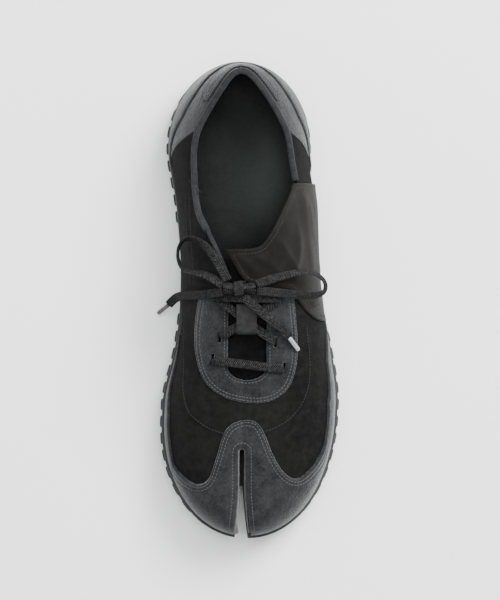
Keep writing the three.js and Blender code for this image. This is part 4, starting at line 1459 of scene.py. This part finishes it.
def insole_point(share, lean):
    gap = WALL + CLEARANCE * 2
    start, end = y_at(0) + TOE_LEDGE + gap, y_at(1) - HEEL_LEDGE - gap
    y = start + (end - start) * share
    at = share_at(y)
    medial = half_width(share, at, along(LEDGE_PLAN, "medial", at) + gap)
    lateral = half_width(share, at, along(LEDGE_PLAN, "lateral", at) + gap)
    x = along(SOLE_PLAN, "drift", at) + np.where(lean < 0, lean * medial, lean * lateral)
    low = along(SOLE_RISE, "top", at) + CLEARANCE
    return x, y, low


def make_insole():
    patch = surface(end_weighted(150), np.linspace(-1, 1, 90))

    def edges(part):
        x, y, _ = insole_point(part.share, part.lean)
        return -polygon_field(np.stack([x, y], 1), slit_outline(WALL + CLEARANCE * 2, SLIT_LENGTH))

    patch = clip(patch, edges(patch))
    x, y, low = insole_point(patch.share, patch.lean)
    rim = np.maximum(np.abs(patch.lean), np.abs(patch.share * 2 - 1))
    heel = smooth((patch.share - 0.45) / 0.25)
    cup = (0.8 + 2.4 * heel) * np.maximum(0, (rim - 0.72) / 0.28) ** 2.2
    arch = 2.2 * np.exp(-((patch.share - 0.5) / 0.13) ** 2) * smooth((-patch.lean - 0.2) / 0.7)
    roll = -0.9 * np.clip((rim - 0.975) / 0.025, 0, 1) ** 2
    top = low + INSOLE_THICK + cup + arch + roll
    outer = np.stack([x, y, top], 1)
    inner = np.stack([x, y, low], 1)
    uvs = np.stack([y, x], 1)
    piece = slab("insole_board", patch, outer, inner, [INSOLE_LEATHER], 0, uvs)
    place = np.array([v.co for v in piece.data.vertices]) / MM
    # Painted highlight on the insole: paler across the middle of the foot, so the heel and toe read as
    # painted shade, and a brighter painted reflection on the lateral side.
    middle = np.exp(-((place[:, 0] + 2) / 26) ** 2 - ((place[:, 1] - 72) / 34) ** 2)
    beside = np.exp(-((place[:, 0] - 14) / 12) ** 2 - ((place[:, 1] - 76) / 30) ** 2)
    add_float(piece, "painted_highlight", 0.30 * middle + 0.85 * beside)
    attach(piece, "root")
    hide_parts("insole")


# Laces across the throat and the keeper

LACE_LOW = CLEARANCE * 2 + OVERLAY


def lace_between(start, end, lift, middle_lift):
    """A ribbon from one slot to another: it comes up out of the first and goes down
    into the second."""
    a, b = slot_place(start), slot_place(end)
    reach = np.linalg.norm(b - a)
    places = np.concatenate([np.linspace(0, 0.04, 4), np.linspace(0.05, 0.95, 44),
                             np.linspace(0.96, 1, 4)])
    points = []
    for u in places:
        near = min(u, 1 - u) * reach
        sunk = -2.6 * (1 - smooth(near / 2.2))
        raised = middle_lift * math.exp(-((u - 0.5) * reach / 4.5) ** 2)
        x, y = a + (b - a) * u
        spot, _ = on_top(x, y, LACE_LOW + LACE_THICK / 2 + lift + sunk + raised)
        points.append(spot)
    path = relax(resample(np.array(points), 0.8), 2)
    level = np.cross(tangents(path), [0, 0, 1.0])
    return path, level


def make_laces():
    path, level = lace_between("low_medial", "low_lateral", 0.0, 0.0)
    bar = sweep("lace_low_bar", path, level, LACE_SECTION, LACE)
    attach(bar, "root")
    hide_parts("lace_bar_low")
    parts = []
    for start, end, lift, raised in (("top_medial", "mid_lateral", 0.0, 0.0),
                                     ("mid_medial", "top_lateral", 0.0, 1.1),
                                     ("top_medial", "top_lateral", 0.9, 0.4)):
        path, level = lace_between(start, end, lift, raised)
        parts.append(sweep("lace_part", path, level, LACE_SECTION, LACE))
    crossing = join(parts, "lace_crossed")
    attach(crossing, "root")
    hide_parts("lace_crossing")


def make_keeper():
    middle_x = THROAT_MIDDLE - 0.6
    middle_y = THROAT_BOTTOM + THROAT_LENGTH * 0.656
    reach = KEEPER_LENGTH / 2
    top = LACE_LOW + LACE_THICK * 2 + CLEARANCE + 0.7
    rows = [(-reach + 0.6, -1.6), (-reach + 0.6, 0.6), (-reach + 0.9, top - 1.2), (-reach + 2.2, top)]
    rows += [(y, top + 0.25 * math.cos(y / reach)) for y in np.linspace(-reach + 4, reach - 4, 7)]
    rows += [(reach - 2.2, top), (reach - 0.9, top - 1.2), (reach - 0.6, 0.6), (reach - 0.6, -1.6)]
    path = []
    for y, grow in rows:
        spot, _ = on_top(middle_x, middle_y + y, 0)
        path.append((spot[0], spot[1], spot[2] + grow))
    path = resample(spline(path, 90), 0.7)
    side = np.tile([1.0, 0, 0], (len(path), 1))
    piece = sweep("keeper_webbing", path, side, rounded_section(KEEPER_WIDTH, 1.2, 22), WEBBING)
    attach(piece, "root")
    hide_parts("tongue_keeper")


# The sole

SOLE_SIDE = table("up out", [
    (0.00, 0.945), (0.04, 0.957), (0.10, 0.966), (0.20, 0.976), (0.32, 0.977), (0.46, 0.972),
    (0.58, 0.967), (0.61, 0.969), (0.635, 0.985), (0.66, 0.996), (0.70, 1.000), (0.78, 1.001),
    (0.90, 1.001), (0.95, 0.999), (0.985, 0.992), (1.00, 0.982),
])
TOP_INWARD = (0.93, 0.7, 0.35)


def sole_ring(at):
    share = float(at)
    low = float(along(SOLE_RISE, "under", share)) + LUG_DEPTH
    top = float(along(SOLE_RISE, "top", share))
    half = float(half_width(np.float64(share), np.float64(share), 0.0))
    middle = float(along(SOLE_PLAN, "drift", share))
    z = low + (top - low) * SOLE_SIDE["up"]
    left = [(middle - half * o, y_at(share), h) for o, h in zip(SOLE_SIDE["out"], z)]
    right = [(middle + half * o, y_at(share), h) for o, h in zip(SOLE_SIDE["out"], z)]
    over = [(middle - half * o, y_at(share), top) for o in TOP_INWARD]
    over += [(middle, y_at(share), top)]
    over += [(middle + half * o, y_at(share), top) for o in reversed(TOP_INWARD)]
    under = [(middle + half * o, y_at(share), low) for o in (0.6, 0.2, -0.2, -0.6)]
    return left + over + right[::-1] + under


def lug_blocks():
    """Every tread block as its own rounded box that follows the sole's edge."""
    verts, faces = [], []
    y = y_at(0) + LUG_PITCH * 0.45
    while y < y_at(1) - LUG_LENGTH * 0.6:
        at = share_at(y + LUG_LENGTH / 2)
        if at <= 0.47 or at >= 0.65:
            add_lug_row(verts, faces, float(y))
        y += LUG_PITCH
    return verts, faces


def add_lug_row(verts, faces, start):
    channel = BALL_WIDTH * 0.19
    cuts = [(-channel - 2 - LUG_CHANNEL / 2, -channel - 2 + LUG_CHANNEL / 2),
            (channel - 2 - LUG_CHANNEL / 2, channel - 2 + LUG_CHANNEL / 2)]
    spans = [(None, cuts[0][0]), (cuts[0][1], cuts[1][0]), (cuts[1][1], None)]
    places = [0, 0.08, 0.25, 0.5, 0.75, 0.92, 1]
    shrink = [0.55, 0.12, 0, 0, 0, 0.12, 0.55]
    levels = [(0.0, 0.7), (0.12, 0.12), (0.3, 0.0), (1.9, 0.0)]
    for left, right in spans:
        base = len(verts)
        rings = 0
        for u, tuck in zip(places, shrink):
            y = start + LUG_LENGTH * u
            at = float(share_at(y))
            low = float(along(SOLE_RISE, "under", at))
            half = float(half_width(np.float64(at), np.float64(at), -LUG_STAND_OUT))
            middle = float(along(SOLE_PLAN, "drift", at))
            ring = []
            for side in (-1, 1):
                for level, pull in (levels if side < 0 else levels[::-1]):
                    flare = 0.95 + 0.05 * min(1, level / 0.5)
                    edge = middle + side * half * flare
                    inner = left if side < 0 else right
                    x = edge if inner is None else inner
                    x -= side * (pull + tuck * (1 if inner is None else 0.6))
                    ring.append((x, y, low + level * LUG_DEPTH + (tuck * 0.7 if level == 0 else 0)))
            if ring[0][0] > ring[-1][0] - 1.0:
                continue
            verts.extend(ring)
            rings += 1
        if rings < 2:
            del verts[base:]
            continue
        size = len(levels) * 2
        for i in range(rings - 1):
            for j in range(size):
                k = (j + 1) % size
                a, b = base + i * size, base + (i + 1) * size
                faces.append((a + j, a + k, b + k, b + j))
        faces.append(tuple(base + j for j in range(size))[::-1])
        faces.append(tuple(base + (rings - 1) * size + j for j in range(size)))


def box_cutter(name, outline, low, top):
    n = len(outline)
    verts = [(x, y, low) for x, y in outline] + [(x, y, top) for x, y in outline]
    faces = [tuple(range(n))[::-1], tuple(range(n, 2 * n))]
    faces += [(i, (i + 1) % n, n + (i + 1) % n, n + i) for i in range(n)]
    obj = new_object(name, verts, faces, smooth_faces=False)
    merge_close(obj, 0.001)
    return obj


def cut_away(obj, cutter):
    cut = obj.modifiers.new("split", "BOOLEAN")
    cut.operation = "DIFFERENCE"
    cut.solver = "EXACT"
    cut.object = cutter
    graph = bpy.context.evaluated_depsgraph_get()
    mesh = bpy.data.meshes.new_from_object(obj.evaluated_get(graph))
    obj.modifiers.clear()
    obj.data = mesh


def make_sole():
    shares = end_weighted(280)
    rings = [sole_ring(at) for at in shares]
    size = len(rings[0])
    verts = [p for ring in rings for p in ring]
    faces = []
    for i in range(len(rings) - 1):
        for j in range(size):
            k = (j + 1) % size
            faces.append((i * size + j, i * size + k, (i + 1) * size + k, (i + 1) * size + j))
    body = new_object("sole_body", verts, faces, [SOLE_RUBBER])
    merge_close(body, 0.002)
    cutter = box_cutter("sole_split", slit_outline(0, SOLE_SPLIT), -5, 60)
    cut_away(body, cutter)
    lug_verts, lug_faces = lug_blocks()
    lugs = new_object("sole_lugs", lug_verts, lug_faces, [SOLE_RUBBER])
    merge_close(lugs, 0.001)
    cut_away(lugs, cutter)
    bpy.data.objects.remove(cutter)
    piece = join([body, lugs], "sole_unit")
    sharpen(piece, 38)
    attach(piece, "root")
    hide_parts("outsole")


def sharpen(obj, degrees):
    """Keeps edges steeper than the given angle crisp under smooth shading."""
    with edited(obj) as mesh:
        for edge in mesh.edges:
            if len(edge.link_faces) == 2 and edge.calc_face_angle(0) > math.radians(degrees):
                edge.smooth = False


# Stitches

STITCH_PITCH = 2.1
STITCH_LENGTH = 1.55
THREAD_RADIUS = 0.27


def make_stitches():
    turn = np.arange(6) / 6 * 2 * math.pi
    rings = [(-0.5, 0.35), (-0.38, 0.9), (0.38, 0.9), (0.5, 0.35)]
    by_thread = {}
    for points, normals, thread in STITCH_LINES:
        both = resample(np.concatenate([points, normals], 1), STITCH_PITCH)
        p, n = both[:, :3], both[:, 3:]
        n = n / np.maximum(np.linalg.norm(n, axis=1, keepdims=True), 1e-9)
        t = tangents(p)
        b = np.cross(n, t)
        verts, faces = by_thread.setdefault(thread.name, (thread, [], []))[1:]
        for i in range(len(p)):
            base = len(verts)
            for run, size in rings:
                sink = -0.22 if abs(run) > 0.45 else 0.0
                mid = p[i] + t[i] * run * STITCH_LENGTH + n[i] * (0.08 + sink)
                for a in turn:
                    verts.append(mid + (b[i] * math.cos(a) + n[i] * math.sin(a)) * size * THREAD_RADIUS)
            for k in range(len(rings) - 1):
                for j in range(6):
                    m = (j + 1) % 6
                    faces.append((base + k * 6 + j, base + k * 6 + m,
                                  base + (k + 1) * 6 + m, base + (k + 1) * 6 + j))
            faces.append(tuple(base + j for j in range(6))[::-1])
            faces.append(tuple(base + 18 + j for j in range(6)))
    for name, (thread, verts, faces) in by_thread.items():
        piece = new_object("stitches_" + name, verts, faces, [thread])
        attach(piece, "root")


make_upper()
make_toe_cap()
make_slit_walls()
make_eyestay()
make_heel_counter()
make_heel_tab()
make_binding()
make_throat_edge()
make_tongue()
make_flap()
make_insole()
make_laces()
make_keeper()
make_sole()
make_stitches()
